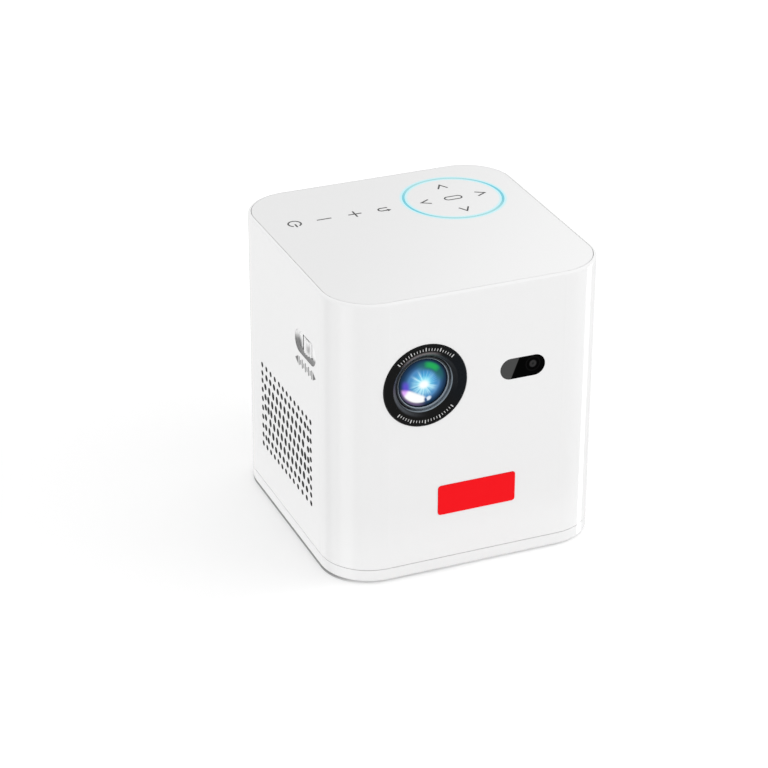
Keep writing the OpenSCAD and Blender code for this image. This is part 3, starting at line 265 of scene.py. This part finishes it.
def white_casing():
    """Glossy white moulded plastic, with painted shade in the focus scoop and inside the grille's
    holes, and painted light making it lighter towards the bottom.
    """
    s = Surface("white_casing", grey(240), 0.12, coat_weight=0.3, coat_roughness=0.04)
    s.vary("Roughness", s.noise(6), 0.1, 0.16)
    s.bump(s.noise(0.35, 3), 0.0006)

    margin, edge = 0.5, 0.1
    half_w, half_h = SCOOP_W / 2 + margin, SCOOP_H / 2 + margin
    below_face, deepest = 0.04, 3
    scoop = s.both(
        s.within(s.y, WHEEL.y - half_w, WHEEL.y + half_w, edge),
        s.within(s.z, WHEEL.z - half_h, WHEEL.z + half_h, edge),
        s.within(s.maths("SUBTRACT", s.x, LEFT_X), below_face, deepest, 0.02),
    )
    # Painted shade in the focus scoop: darkest along its lower rim and low at its rear end
    lower_rim = s.fade(s.z, WHEEL.z - 1.3, WHEEL.z - 3.3)
    rear_end = s.both(
        s.fade(s.y, WHEEL.y + 4.4, WHEEL.y + 6.6),
        s.fade(s.z, WHEEL.z + 2.2, WHEEL.z - 1.4),
    )
    shade = s.mix(s.maths("MAXIMUM", lower_rim, rear_end), grey(250), grey(132))

    # Painted shade inside the grille's holes, just below the outer face
    side = s.maths("ABSOLUTE", s.x)
    hole_shade = s.both(
        s.within(s.y, SCREEN_LOW.y, SCREEN_HIGH.y, edge),
        s.within(s.z, SCREEN_LOW.z, SCREEN_HIGH.z, edge),
        s.fade(side, -LEFT_X - 0.01, -LEFT_X - below_face),
    )
    # Painted light: the casing is lighter towards its bottom
    foot_low, foot_high = 6, 30
    plain = s.mix(s.fade(s.z, foot_high, foot_low), grey(240), grey(246))
    colour = s.mix(scoop, plain, shade)
    s.set("Base Color", s.mix(hole_shade, colour, grey(96)))
    return s.material


def top_panel():
    """Satin white touch panel, with painted light: lighter towards the right, and the light ring's
    pale glow painted round the ring.
    """
    s = Surface("top_panel", grey(229), 0.3)
    # Painted light: the light ring's pale glow on the panel round it
    ring_middle, glow_reach, glow_full = RING_R - 0.45, 1.9, 0.5
    off = s.maths("SUBTRACT", s.radius(RING, (1, 1, 0)), ring_middle)
    glow = s.fade(s.maths("ABSOLUTE", off), glow_reach, glow_full)
    # Painted light: the panel is lighter towards the right
    lean, dark_end, light_end = 0.8, -40, 100
    across = s.maths("SUBTRACT", s.x, s.maths("MULTIPLY", s.y, lean))
    white = s.mix(s.fade(across, dark_end, light_end), grey(229), grey(240))
    s.set("Base Color", s.mix(glow, white, linear(186, 240, 248)))
    s.vary("Roughness", s.noise(3), 0.28, 0.36)
    s.bump(s.noise(0.25, 3), 0.0008)
    return s.material


def light_ring():
    """Clear light pipe lit cyan from below, deeper at its sides and uneven from lamp to lamp."""
    s = Surface("light_ring", grey(60), 0.25)
    away = s.maths("ABSOLUTE", s.maths("SUBTRACT", s.y, RING.y))
    side_end, far_end = 5, 17
    sides, front_and_back = linear(52, 176, 196), linear(146, 196, 196)
    colour = s.mix(s.fade(away, side_end, far_end), sides, front_and_back)
    lamp = s.maths("MULTIPLY", s.noise(5, 1), 0.4)
    s.set("Emission Color", s.mix(lamp, colour, linear(140, 222, 232)))
    s.set("Emission Strength", 0.95)
    return s.material


def red_label():
    """Bright red printed film."""
    s = Surface("red_label", linear(248, 8, 22), 0.35, specular_ior_level=0.1)
    s.vary("Roughness", s.noise(2), 0.32, 0.4)
    s.bump(s.noise(0.5, 2), 0.0005)
    return s.material


def black_window():
    """Tinted window: a painted slanted reflection of a pane at one end, a camera's eye behind the
    other.
    """
    s = Surface("black_window", grey(2), 0.06, specular_ior_level=0.02)
    # Painted reflection of a pane: grey at the window's left end, up to a slanted edge
    middle_z, slope, pane_w, soft = (WINDOW_LOW.z + WINDOW_HIGH.z) / 2, 0.39, 6.4, 0.35
    slant = s.maths("MULTIPLY", s.maths("SUBTRACT", s.z, middle_z), slope)
    edge = s.maths("SUBTRACT", s.x, slant)
    pane = s.fade(edge, WINDOW_LOW.x + pane_w + soft, WINDOW_LOW.x + pane_w)
    eye = s.radius(middle_mm("camera_module"), (1, 0, 1))
    colour = s.mix(pane, grey(2), grey(74))
    colour = s.mix(s.fade(eye, 1.55, 1.05), colour, grey(50))
    colour = s.mix(s.fade(eye, 0.6, 0.3), colour, grey(34))
    colour = s.mix(s.within(eye, 2.4, 2.8, 0.2), colour, grey(14))
    s.set("Base Color", colour)
    s.vary("Roughness", s.noise(2), 0.04, 0.08)
    return s.material


def black_bezel():
    """Satin black lens surround, with painted highlights where its inner cone, crest and lip catch
    the light.
    """
    s = Surface("black_bezel", grey(12), 0.3, specular_ior_level=0.12)
    r, x, z = s.lens_place()
    # Painted highlights by direction round the lens: on the cone, the crest and the lip. The
    # ground is bluer at the right
    right, upper_left, top, lower_right = (8, 35, 25), (150, 95, 40), (100, 22, 20), (-48, 60, 50)
    ground = s.mix(s.sector(x, z, *right), grey(12), linear(8, 14, 20))
    cone = s.both(s.within(r, LIP_R + 0.3, LIP_R + 1.3, 0.4), s.sector(x, z, *upper_left))
    colour = s.mix(cone, ground, linear(76, 80, 86))
    crest = s.both(s.within(r, LIP_R + 1.0, LIP_R + 2.0, 0.5), s.sector(x, z, *top))
    colour = s.mix(crest, colour, linear(120, 114, 116))
    lip = s.within(r, LIP_R - 0.1, LIP_R + 0.16, 0.08)
    bright = s.mix(s.sector(x, z, *lower_right), linear(82, 86, 92), linear(150, 162, 172))
    s.set("Base Color", s.mix(lip, colour, bright))
    s.vary("Roughness", s.noise(1.2), 0.26, 0.36)
    s.bump(s.noise(0.2, 2), 0.0015)
    return s.material


def black_barrel():
    """Matt black anodised lens cell, with a painted reflection of the studio from below on its
    ring face and a painted highlight on its edge by the glass.
    """
    s = Surface("black_barrel", grey(20), 0.45, specular_ior_level=0.3)
    r, x, z = s.lens_place()
    # Painted reflection on the ring face, brightest at the lower right, and a painted highlight on
    # the edge by the glass
    lower_right = s.sector(x, z, -62, 35, 30)
    shade = s.mix(lower_right, linear(48, 52, 56), linear(94, 106, 118))
    face_reflection = s.within(r, GLASS_R + 0.25, GLASS_R + 1.0, 0.12)
    colour = s.mix(face_reflection, grey(20), shade)
    edge = s.within(r, GLASS_R - 0.1, GLASS_R + 0.22, 0.06)
    s.set("Base Color", s.mix(edge, colour, linear(150, 162, 172)))
    s.vary("Roughness", s.noise(0.8), 0.38, 0.52)
    s.bump(s.noise(0.15, 2), 0.002)
    return s.material


# Painted glow and reflections: colours across the front glass by distance from its middle, and the
# ramp's outer end
RAMP_R = 10.0
GLASS_STOPS = (
    (0.0, (252, 255, 255)),
    (1.2, (204, 248, 255)),
    (2.0, (150, 232, 250)),
    (3.0, (88, 184, 230)),
    (4.4, (70, 146, 202)),
    (5.7, (82, 138, 190)),
    (6.6, (50, 94, 138)),
    (7.6, (22, 58, 94)),
    (8.5, (14, 40, 66)),
    (8.95, (8, 16, 28)),
)


def coated_glass():
    """Front glass, painted and shown as emission: coloured reflections over a lit projection
    lamp's glow, as seen in its depth.
    """
    s = Surface("coated_glass", grey(4), 0.03, specular_ior_level=0.1)
    r, x, z = s.lens_place()

    def patch(under, ring, sector, strength, shade):
        """A painted patch of coloured light. ring is from, to and softness, sector is its angles.
        """
        mask = s.both(s.within(r, *ring), s.sector(x, z, *sector))
        return s.mix(s.maths("MULTIPLY", mask, strength), under, linear(*shade))

    ramp = s.add("ShaderNodeValToRGB")
    elements = ramp.color_ramp.elements
    for _ in GLASS_STOPS[2:]:
        elements.new(0.5)
    for element, (radius, shade) in zip(elements, GLASS_STOPS):
        element.position = radius / RAMP_R
        element.color = linear(*shade)
    s.feed(ramp.inputs[0], s.maths("DIVIDE", r, RAMP_R))
    colour = ramp.outputs[0]

    # The painted glow of the lamp: its haze, its dark and bright rays and its core
    colour = patch(colour, (1.6, 4.3, 1.1), (-120, 100, 45), 0.45, (186, 232, 246))
    away = s.vector("SUBTRACT", s.place, tuple(LENS))
    heading = s.vector("NORMALIZE", s.vector("MULTIPLY", away, (1, 0, 1)))
    rays = s.noise(0.24, 2, place=heading)
    dark = s.both(s.fade(rays, 0.5, 0.3), s.within(r, 1.6, 5.0, 0.7))
    colour = s.mix(s.maths("MULTIPLY", dark, 0.5), colour, linear(58, 140, 190))
    bright = s.both(s.fade(rays, 0.46, 0.7), s.fade(r, 0.8, 2.0), s.fade(r, 6.2, 2.8))
    colour = s.mix(s.maths("MULTIPLY", bright, 0.8), colour, linear(204, 246, 255))
    colour = s.mix(s.ellipse(0.0, -0.4, 1.7, 1.3, 0, 0.6), colour, linear(252, 255, 255))

    # Painted coloured reflections: teal and green at the upper right, violet at the left, plum at
    # the lower left
    colour = patch(colour, (5.1, 7.8, 0.8), (55, 42, 25), 0.85, (30, 100, 92))
    colour = patch(colour, (5.9, 7.8, 0.6), (61, 13, 17), 1.0, (32, 170, 88))
    colour = patch(colour, (5.4, 7.5, 0.9), (190, 14, 16), 0.9, (96, 76, 208))
    colour = patch(colour, (7.5, 8.6, 0.4), (232, 30, 20), 1.0, (108, 92, 126))

    # A painted white reflection of a window below, rosy at its left end, then its small second
    # part
    slope = s.maths("ADD", z, s.maths("MULTIPLY", x, 0.56))
    rim = s.radius((LENS.x - 0.7, 0, LENS.z), (1, 0, 1))
    pane = s.both(s.fade(slope, -4.1, -5.4), s.fade(rim, 7.8, 6.9), s.fade(x, 1.4, -0.2))
    pane = s.both(pane, s.fade(z, -0.8, -2.6))
    rosy = s.maths("ADD", x, s.maths("MULTIPLY", z, -0.6))
    shade = s.mix(s.fade(rosy, -3.6, -5.3), linear(254, 254, 255), linear(226, 172, 250))
    colour = s.mix(pane, colour, shade)
    colour = s.mix(s.ellipse(2.0, -6.1, 1.0, 0.8, 30, 0.5), colour, linear(222, 236, 250))
    colour = s.mix(s.ellipse(1.0, -6.5, 0.45, 0.8, 20, 0.5), colour, linear(52, 84, 132))

    # The painted glow and reflections are shown as emission
    s.set("Emission Color", colour)
    s.set("Emission Strength", 1.0)
    s.vary("Roughness", s.noise(4), 0.02, 0.05)
    return s.material


def focus_wheel():
    """White thumbwheel, with painted shade between its ribs and a painted soft reflection in the
    middle.
    """
    s = Surface("focus_wheel", grey(236), 0.2)
    # Painted shade: greyer towards the roots of the ribs
    rib_top, rib_root = 8.7, 8.3
    r = s.radius(middle_mm("focus_wheel"), (1, 1, 0))
    rim = s.mix(s.fade(r, rib_top, rib_root), grey(250), grey(190))
    # A painted soft reflection: a grey patch in the middle of the rim
    mark = s.both(
        s.within(s.y, WHEEL.y - 2.3, WHEEL.y - 0.5, 0.9),
        s.within(s.z, WHEEL.z - 1.6, WHEEL.z + 1.2, 1.0),
    )
    s.set("Base Color", s.mix(mark, rim, grey(188)))
    s.vary("Roughness", s.noise(1.5), 0.18, 0.28)
    s.bump(s.noise(0.2, 2), 0.001)
    return s.material


def plain_plastic(name, shade, roughness, size=0.25, depth=0.004):
    """Moulded plastic with a fine spark-eroded grain."""
    s = Surface(name, shade, roughness)
    grain = s.noise(size, 3)
    s.bump(grain, depth)
    s.vary("Roughness", s.noise(4 * size), roughness - 0.06, roughness + 0.08)
    return s.material


def brushed_metal(name, shade, roughness, stretch):
    """Metal with fine lines along one axis."""
    s = Surface(name, shade, roughness, metallic=1.0)
    lines = s.noise(0.12, 2, stretch)
    s.vary("Roughness", lines, roughness - 0.08, roughness + 0.12)
    s.bump(lines, 0.0015)
    return s.material


def circuit_board():
    """Green solder mask over copper tracks."""
    s = Surface("circuit_board", linear(20, 70, 42), 0.35)
    brick = s.add("ShaderNodeTexBrick", offset=0.37, squash=0.7)
    s.feed(brick.inputs["Vector"], s.place)
    brick.inputs["Scale"].default_value = 0.55
    brick.inputs["Mortar Size"].default_value = 0.012
    track = brick.outputs["Fac"]
    s.set("Base Color", s.mix(track, linear(20, 70, 42), linear(52, 118, 72)))
    s.bump(track, 0.03)
    s.vary("Roughness", s.noise(2), 0.3, 0.42)
    return s.material


def clear_glass(name, tint):
    """Polished optical glass."""
    s = Surface(name, tint, 0.04, transmission_weight=0.9, ior=1.52)
    s.vary("Roughness", s.noise(5), 0.02, 0.06)
    return s.material


def black_mesh():
    """Woven dust screen behind the grille."""
    s = Surface("black_mesh", grey(92), 0.7)
    radians_per_mm = 12.0
    weave = s.maths(
        "MULTIPLY",
        s.maths("SINE", s.maths("MULTIPLY", s.y, radians_per_mm)),
        s.maths("SINE", s.maths("MULTIPLY", s.z, radians_per_mm)),
    )
    s.set("Base Color", s.mix(s.fade(weave, -0.2, 0.6), grey(78), grey(104)))
    s.bump(weave, 0.02)
    return s.material


def speaker_paper():
    """Pressed paper cone with radial fibre."""
    s = Surface("speaker_paper", grey(36), 0.8)
    fibre = s.noise(0.4, 4)
    s.set("Base Color", s.mix(fibre, grey(26), grey(52)))
    s.bump(fibre, 0.03)
    return s.material


def battery_wrap():
    """Shrink film round a cell, with faint wrinkles along it."""
    s = Surface("battery_wrap", linear(62, 110, 170), 0.3)
    wrinkle = s.noise(1.6, 3, (1, 8, 1))
    s.set("Base Color", s.mix(wrinkle, linear(52, 96, 156), linear(74, 124, 184)))
    s.bump(wrinkle, 0.03)
    return s.material


def flex_film():
    """Amber polyimide film with copper lines."""
    s = Surface("flex_film", linear(196, 122, 34), 0.35)
    radians_per_mm = 9.0
    lines = s.maths("SINE", s.maths("MULTIPLY", s.x, radians_per_mm))
    film, copper = linear(176, 104, 28), linear(206, 136, 52)
    s.set("Base Color", s.mix(s.fade(lines, -0.2, 0.2), film, copper))
    s.bump(lines, 0.01)
    return s.material


def led_board():
    """White-masked metal core board with a lighter emitter."""
    s = Surface("led_board", grey(206), 0.4)
    spot = s.noise(1.2, 2)
    s.set("Base Color", s.mix(spot, grey(196), grey(222)))
    s.bump(spot, 0.01)
    return s.material


def ink(name, colour):
    """Screen-printed ink, slightly uneven."""
    s = Surface(name, colour, 0.5)
    cloud = s.noise(0.6, 3)
    gain, lift = 1.18, 0.01
    light = tuple(min(1.0, c * gain + lift) for c in colour[:3]) + (1.0,)
    s.set("Base Color", s.mix(cloud, colour, light))
    s.bump(cloud, 0.004)
    return s.material


# Stretch of a brushed metal's lines along each axis
X_LINES, Y_LINES, Z_LINES = (30, 1, 1), (1, 30, 1), (1, 1, 30)

finishes = {
    "white_casing": white_casing(),
    "top_panel": top_panel(),
    "light_ring": light_ring(),
    "circuit_board": circuit_board(),
    "conductive_foam": plain_plastic("conductive_foam", grey(62), 0.85, 0.5, 0.05),
    "led_package": plain_plastic("led_package", linear(236, 240, 226), 0.35),
    "foot_rubber": plain_plastic("foot_rubber", grey(40), 0.8, 0.3, 0.01),
    "steel": brushed_metal("steel", grey(190), 0.3, X_LINES),
    "sheet_aluminium": brushed_metal("sheet_aluminium", grey(205), 0.38, X_LINES),
    "brass": brushed_metal("brass", linear(206, 166, 92), 0.3, Z_LINES),
    "red_label": red_label(),
    "black_window": black_window(),
    "dark_plastic": plain_plastic("dark_plastic", grey(46), 0.5),
    "black_bezel": black_bezel(),
    "black_barrel": black_barrel(),
    "coated_glass": coated_glass(),
    "optical_glass": clear_glass("optical_glass", linear(236, 246, 248)),
    "dichroic_glass": clear_glass("dichroic_glass", linear(214, 170, 236)),
    "focus_wheel": focus_wheel(),
    "engine_casting": plain_plastic("engine_casting", grey(72), 0.45, 0.6, 0.02),
    "led_board": led_board(),
    "chip_package": plain_plastic("chip_package", grey(34), 0.55, 0.15, 0.006),
    "copper": brushed_metal("copper", linear(206, 132, 96), 0.3, Z_LINES),
    "fan_plastic": plain_plastic("fan_plastic", grey(30), 0.4),
    "black_mesh": black_mesh(),
    "speaker_paper": speaker_paper(),
    "battery_wrap": battery_wrap(),
    "socket_steel": brushed_metal("socket_steel", grey(198), 0.25, Y_LINES),
    "socket_plastic": plain_plastic("socket_plastic", grey(28), 0.4),
    "port_panel": plain_plastic("port_panel", grey(38), 0.42, 0.3, 0.006),
    "flex_film": flex_film(),
}

for part in frame["record"]["subparts"]:
    mesh = frame["nodes"][part["node"]].data
    mesh.materials.clear()
    mesh.materials.append(finishes[part["material_slot"]])

# ---------------------------------------------------------------- printed marks

# Degrees between an arc's points, and the least cosine that a line's mitred corner follows
ARC_STEP = 6.0
SHARPEST = 0.4


def arc(radius, start, end, centre):
    """Points along an arc, in degrees from +U towards +V."""
    count = max(2, math.ceil(abs(end - start) / ARC_STEP))
    angles = [math.radians(start + (end - start) * i / count) for i in range(count + 1)]
    return [(centre[0] + radius * math.cos(a), centre[1] + radius * math.sin(a)) for a in angles]


def ribbon(points, width):
    """Left and right edges of a line of that width through points, with mitred corners."""
    left, right = [], []
    for i, point in enumerate(points):
        here = Vector(point)
        before = (here - Vector(points[i - 1])).normalized() if i else None
        after = (Vector(points[i + 1]) - here).normalized() if i + 1 < len(points) else None
        first, second = before or after, after or before
        normal = Vector((-first.y - second.y, first.x + second.x)).normalized()
        reach = width / 2 / max(SHARPEST, normal.dot(Vector((-first.y, first.x))))
        left.append(here + normal * reach)
        right.append(here - normal * reach)
    return left, right


class Print:
    """A thin closed layer of ink. place(u, v, height) gives a point in millimetres."""

    thickness = 0.04

    def __init__(self, place):
        self.mesh = bmesh.new()
        self.place = place

    def vertex(self, u, v, height):
        return self.mesh.verts.new(Vector(self.place(u, v, height)) * MM)

    def patch(self, outline):
        """One flat patch with the outline's shape, convex and drawn anticlockwise."""
        lower = [self.vertex(u, v, 0.0) for u, v in outline]
        upper = [self.vertex(u, v, self.thickness) for u, v in outline]
        self.mesh.faces.new(upper)
        self.mesh.faces.new(lower[::-1])
        for i in range(len(outline)):
            j = (i + 1) % len(outline)
            self.mesh.faces.new((lower[i], lower[j], upper[j], upper[i]))

    def line(self, points, width, closed=False):
        """A line of even width, as one solid strip."""
        if closed:
            points = points[:-1]
            points = [points[-1]] + points + [points[0], points[1]]
        left, right = ribbon(points, width)
        if closed:
            left, right = left[1:-1], right[1:-1]
            left[-1], right[-1] = left[0], right[0]
        rows = []
        for i in range(len(left) - (1 if closed else 0)):
            rows.append([
                self.vertex(*left[i], 0.0),
                self.vertex(*right[i], 0.0),
                self.vertex(*right[i], self.thickness),
                self.vertex(*left[i], self.thickness),
            ])
        pairs = list(zip(rows, rows[1:]))
        if closed:
            pairs.append((rows[-1], rows[0]))
        for a, b in pairs:
            for k in range(4):
                m = (k + 1) % 4
                self.mesh.faces.new((a[k], b[k], b[m], a[m]))
        if not closed:
            self.mesh.faces.new(rows[0])
            self.mesh.faces.new(rows[-1][::-1])

    def finish(self, name, material, body="housing"):
        """Makes the piece and fixes it to one of the record's bodies."""
        bmesh.ops.recalc_face_normals(self.mesh, faces=self.mesh.faces)
        data = bpy.data.meshes.new(name)
        self.mesh.to_mesh(data)
        self.mesh.free()
        data.materials.append(material)
        piece = bpy.data.objects.new(name, data)
        bpy.context.scene.collection.objects.link(piece)
        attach(piece, body)


def on_top(u, v, height):
    return (u, v, TOP_Z + height)


def on_left(u, v, height):
    """u runs forward, to the right as seen from outside, and v runs up."""
    return (LEFT_X - height, -u, v)


def on_bezel(u, v, height):
    return (LENS.x + u, BEZEL_Y - height, LENS.z + v)


def turned(points, quarter_turns, centre):
    """The points turned round (0, 0) by quarter turns and moved to centre."""
    for _ in range(quarter_turns % 4):
        points = [(-v, u) for u, v in points]
    return [(centre[0] + u, centre[1] + v) for u, v in points]


# Width of the key signs' lines
ICON_LINE = 0.58
ink_grey = ink("icon_ink", grey(46))
ink_pale = ink("scale_ink", grey(206))
ink_mark = ink("mark_ink", grey(104))


def key_icons():
    """Power, minus, plus and back keys, drawn to be read from behind the body."""
    p = Print(on_top)

    x, circle_r, stem_from, stem_to = KEY_X["power"], 2.3, -2.9, -0.4
    p.line(arc(circle_r, -62, 242, (x, KEY_Y)), ICON_LINE)
    p.line([(x, KEY_Y + stem_from), (x, KEY_Y + stem_to)], ICON_LINE)

    x, half = KEY_X["minus"], 2.75
    p.line([(x - half, KEY_Y), (x + half, KEY_Y)], ICON_LINE)

    x, half = KEY_X["plus"], 2.5
    p.line([(x - half, KEY_Y), (x + half, KEY_Y)], ICON_LINE)
    for side in (-1, 1):
        p.line([(x, KEY_Y + side * ICON_LINE / 2), (x, KEY_Y + side * half)], ICON_LINE)

    x, bend_x, bend_r, tail, shaft = KEY_X["back"], -1.0, 1.15, 1.7, 1.2
    hook = [(x + tail, KEY_Y + bend_r)] + arc(bend_r, 90, 270, (x + bend_x, KEY_Y))
    p.line(hook + [(x + shaft, KEY_Y - bend_r)], ICON_LINE)
    tip, head, half = x + 2.4, 1.5, 0.95
    shaft_y = KEY_Y - bend_r
    p.patch([(tip - head, shaft_y - half), (tip, shaft_y), (tip - head, shaft_y + half)])
    p.finish("key_icons", ink_grey)


def arrow_icons():
    """Four arrowheads and a centre mark inside the light ring."""
    p = Print(on_top)
    centre = (RING.x, RING.y)
    tip, back, half = 12.5, 9.2, 1.85
    for quarter in range(4):
        p.line(turned([(back, -half), (tip, 0), (back, half)], quarter, centre), ICON_LINE)
    half_straight, bow, line = 1.9, 1.35, 0.55
    right = arc(bow, -90, 90, (RING.x + half_straight, RING.y))
    left = arc(bow, 90, 270, (RING.x - half_straight, RING.y))
    p.line(right + left + right[:1], line, closed=True)
    p.finish("arrow_icons", ink_grey)


def focus_scale():
    """Two arrowheads and a row of fine marks under the focus wheel."""
    p = Print(on_left)
    middle_u = -WHEEL.y
    middle_v = TOP_Z - 34.9
    half_length, head_length, head_half = 9.6, 2.6, 1.6
    for side in (-1, 1):
        tip = middle_u + side * half_length
        inner = tip - side * head_length
        head = [(tip, middle_v), (inner, middle_v + head_half), (inner, middle_v - head_half)]
        p.patch(head if side < 0 else head[::-1])
    pitch, line, long_half, short_half = 1.5, 0.65, 1.71, 0.9
    for i in range(-4, 5):
        u = middle_u + i * pitch
        reach = long_half if i % 2 == 0 else short_half
        p.line([(u, middle_v - reach), (u, middle_v + reach)], line)
    p.finish("focus_scale", ink_mark)


def bezel_scale():
    """Fine marks round the top and the bottom of the lens surround, as on a focus ring."""
    p = Print(on_bezel)
    inner, outer, long_outer = 13.1, 14.0, 14.4
    ticks_each_way, degrees_apart, long_every = 10, 4.6, 5
    for middle in (90, 270):
        for i in range(-ticks_each_way, ticks_each_way + 1):
            angle = math.radians(middle + i * degrees_apart)
            reach, line = (outer, 0.2) if i % long_every else (long_outer, 0.32)
            ends = [(r * math.cos(angle), r * math.sin(angle)) for r in (inner, reach)]
            p.line(ends, line)
    p.finish("bezel_scale", ink_pale)


key_icons()
arrow_icons()
focus_scale()
bezel_scale()

# ---------------------------------------------------------------- stage and light

# World light for the camera and matt surfaces, and the plain level that glossy ones reflect
AMBIENT = 1.0
GLOSSY_LEVEL = 0.85
# Strips that the body's upright faces reflect: middle, half width and edge in degrees, gain.
# They lie below the horizon, from the first sine of the elevation to the second
STRIPS = (
    (95, 7.5, 2, 3.0),
    (-72, 16, 8, 0.6),
    (-122, 9, 6, -0.35),
    (-158, 24, 8, 0.13),
    (28, 30, 14, -0.2),
)
STRIPS_FROM, STRIPS_FULL = -0.04, -0.18
# What the floor adds to its own colour for the camera, on the shadow's side and elsewhere
SHADOW_SIDE_GLOW = 0.098
LIT_SIDE_GLOW = 0.22
FLOOR_REACH_M = 12.0
SQUARE = ((-1, -1), (1, -1), (1, 1), (-1, 1))


def add_floor():
    """White table top. It shows white to the camera, keeps the object's shadow and carries a
    painted shadow under the body's left edge.
    """
    mesh = bpy.data.meshes.new("floor")
    corners = [(x * FLOOR_REACH_M, y * FLOOR_REACH_M, 0) for x, y in SQUARE]
    mesh.from_pydata(corners, [], [(0, 1, 2, 3)])
    floor = bpy.data.objects.new("floor", mesh)
    bpy.context.scene.collection.objects.link(floor)
    s = Surface("floor_white", grey(246), 0.7, specular_ior_level=0.1)
    # Painted shadow: the dark line under the body's left edge, inside its rounded footprint
    straight = -LEFT_X - CORNER_R
    beyond = s.vector("SUBTRACT", s.vector("ABSOLUTE", s.place), (straight, straight, 0))
    beyond = s.vector("MULTIPLY", s.vector("MAXIMUM", beyond, (0, 0, 0)), (1, 1, 0))
    footprint = s.fade(s.vector("LENGTH", beyond), CORNER_R + 0.05, CORNER_R - 0.25)
    under = s.both(footprint, s.fade(s.x, LEFT_X + 10, LEFT_X - 3))
    s.set("Base Color", s.mix(under, grey(246), grey(162)))
    light = s.add("ShaderNodeLightPath")
    # Painted light: the floor glows more at the front and the right, so the shadow shows only at
    # the left
    front, right = s.fade(s.y, -35, -65), s.fade(s.x, LEFT_X, 20)
    lit = s.maths("MAXIMUM", front, right)
    glow = s.fade(lit, 0.0, 1.0, SHADOW_SIDE_GLOW, LIT_SIDE_GLOW)
    glow = s.maths("MULTIPLY", glow, s.maths("SUBTRACT", 1.0, under))
    s.set("Emission Color", grey(255))
    s.set("Emission Strength", s.maths("MULTIPLY", light.outputs["Is Camera Ray"], glow))
    mesh.materials.append(s.material)
    floor.visible_glossy = False


def add_world():
    """A white studio, with bright and dark strips that only glossy surfaces see."""
    world = bpy.data.worlds.new("studio")
    bpy.context.scene.world = world
    world.use_nodes = True
    n = Nodes(world.node_tree)
    path = n.add("ShaderNodeLightPath")
    x, y, z = n.split(n.add("ShaderNodeTexCoord").outputs["Generated"])
    azimuth = n.maths("DEGREES", n.maths("ARCTAN2", x, n.maths("MULTIPLY", y, -1.0)))
    below = n.fade(z, STRIPS_FROM, STRIPS_FULL)
    seen = GLOSSY_LEVEL
    for middle, half_width, soft, gain in STRIPS:
        strip = n.within(azimuth, middle - half_width, middle + half_width, soft)
        strip = n.maths("MULTIPLY", strip, below)
        seen = n.maths("ADD", seen, n.maths("MULTIPLY", strip, gain))
    glossy = n.maths("MULTIPLY", path.outputs["Is Glossy Ray"], seen)
    other = n.maths("SUBTRACT", 1.0, path.outputs["Is Glossy Ray"])
    strength = n.maths("ADD", glossy, n.maths("MULTIPLY", other, AMBIENT))
    background = world.node_tree.nodes["Background"]
    background.inputs["Color"].default_value = (1, 1, 1, 1)
    n.feed(background.inputs["Strength"], strength)


def add_lamp(name, place_mm, target_mm, size_mm, power):
    data = bpy.data.lights.new(name, "AREA")
    data.shape = "RECTANGLE"
    data.size, data.size_y = (side * MM for side in size_mm)
    data.energy = power
    lamp = bpy.data.objects.new(name, data)
    lamp.location = Vector(place_mm) * MM
    aim = (Vector(target_mm) - Vector(place_mm)).normalized()
    lamp.rotation_euler = aim.to_track_quat("-Z", "Y").to_euler()
    lamp.visible_glossy = False
    bpy.context.scene.collection.objects.link(lamp)


add_camera()
add_floor()
add_world()
add_lamp(
    "side_light", place_mm=(330, -200, 340), target_mm=(0, 0, 50), size_mm=(300, 300), power=0.22
)

bpy.context.scene.view_settings.view_transform = "Standard"
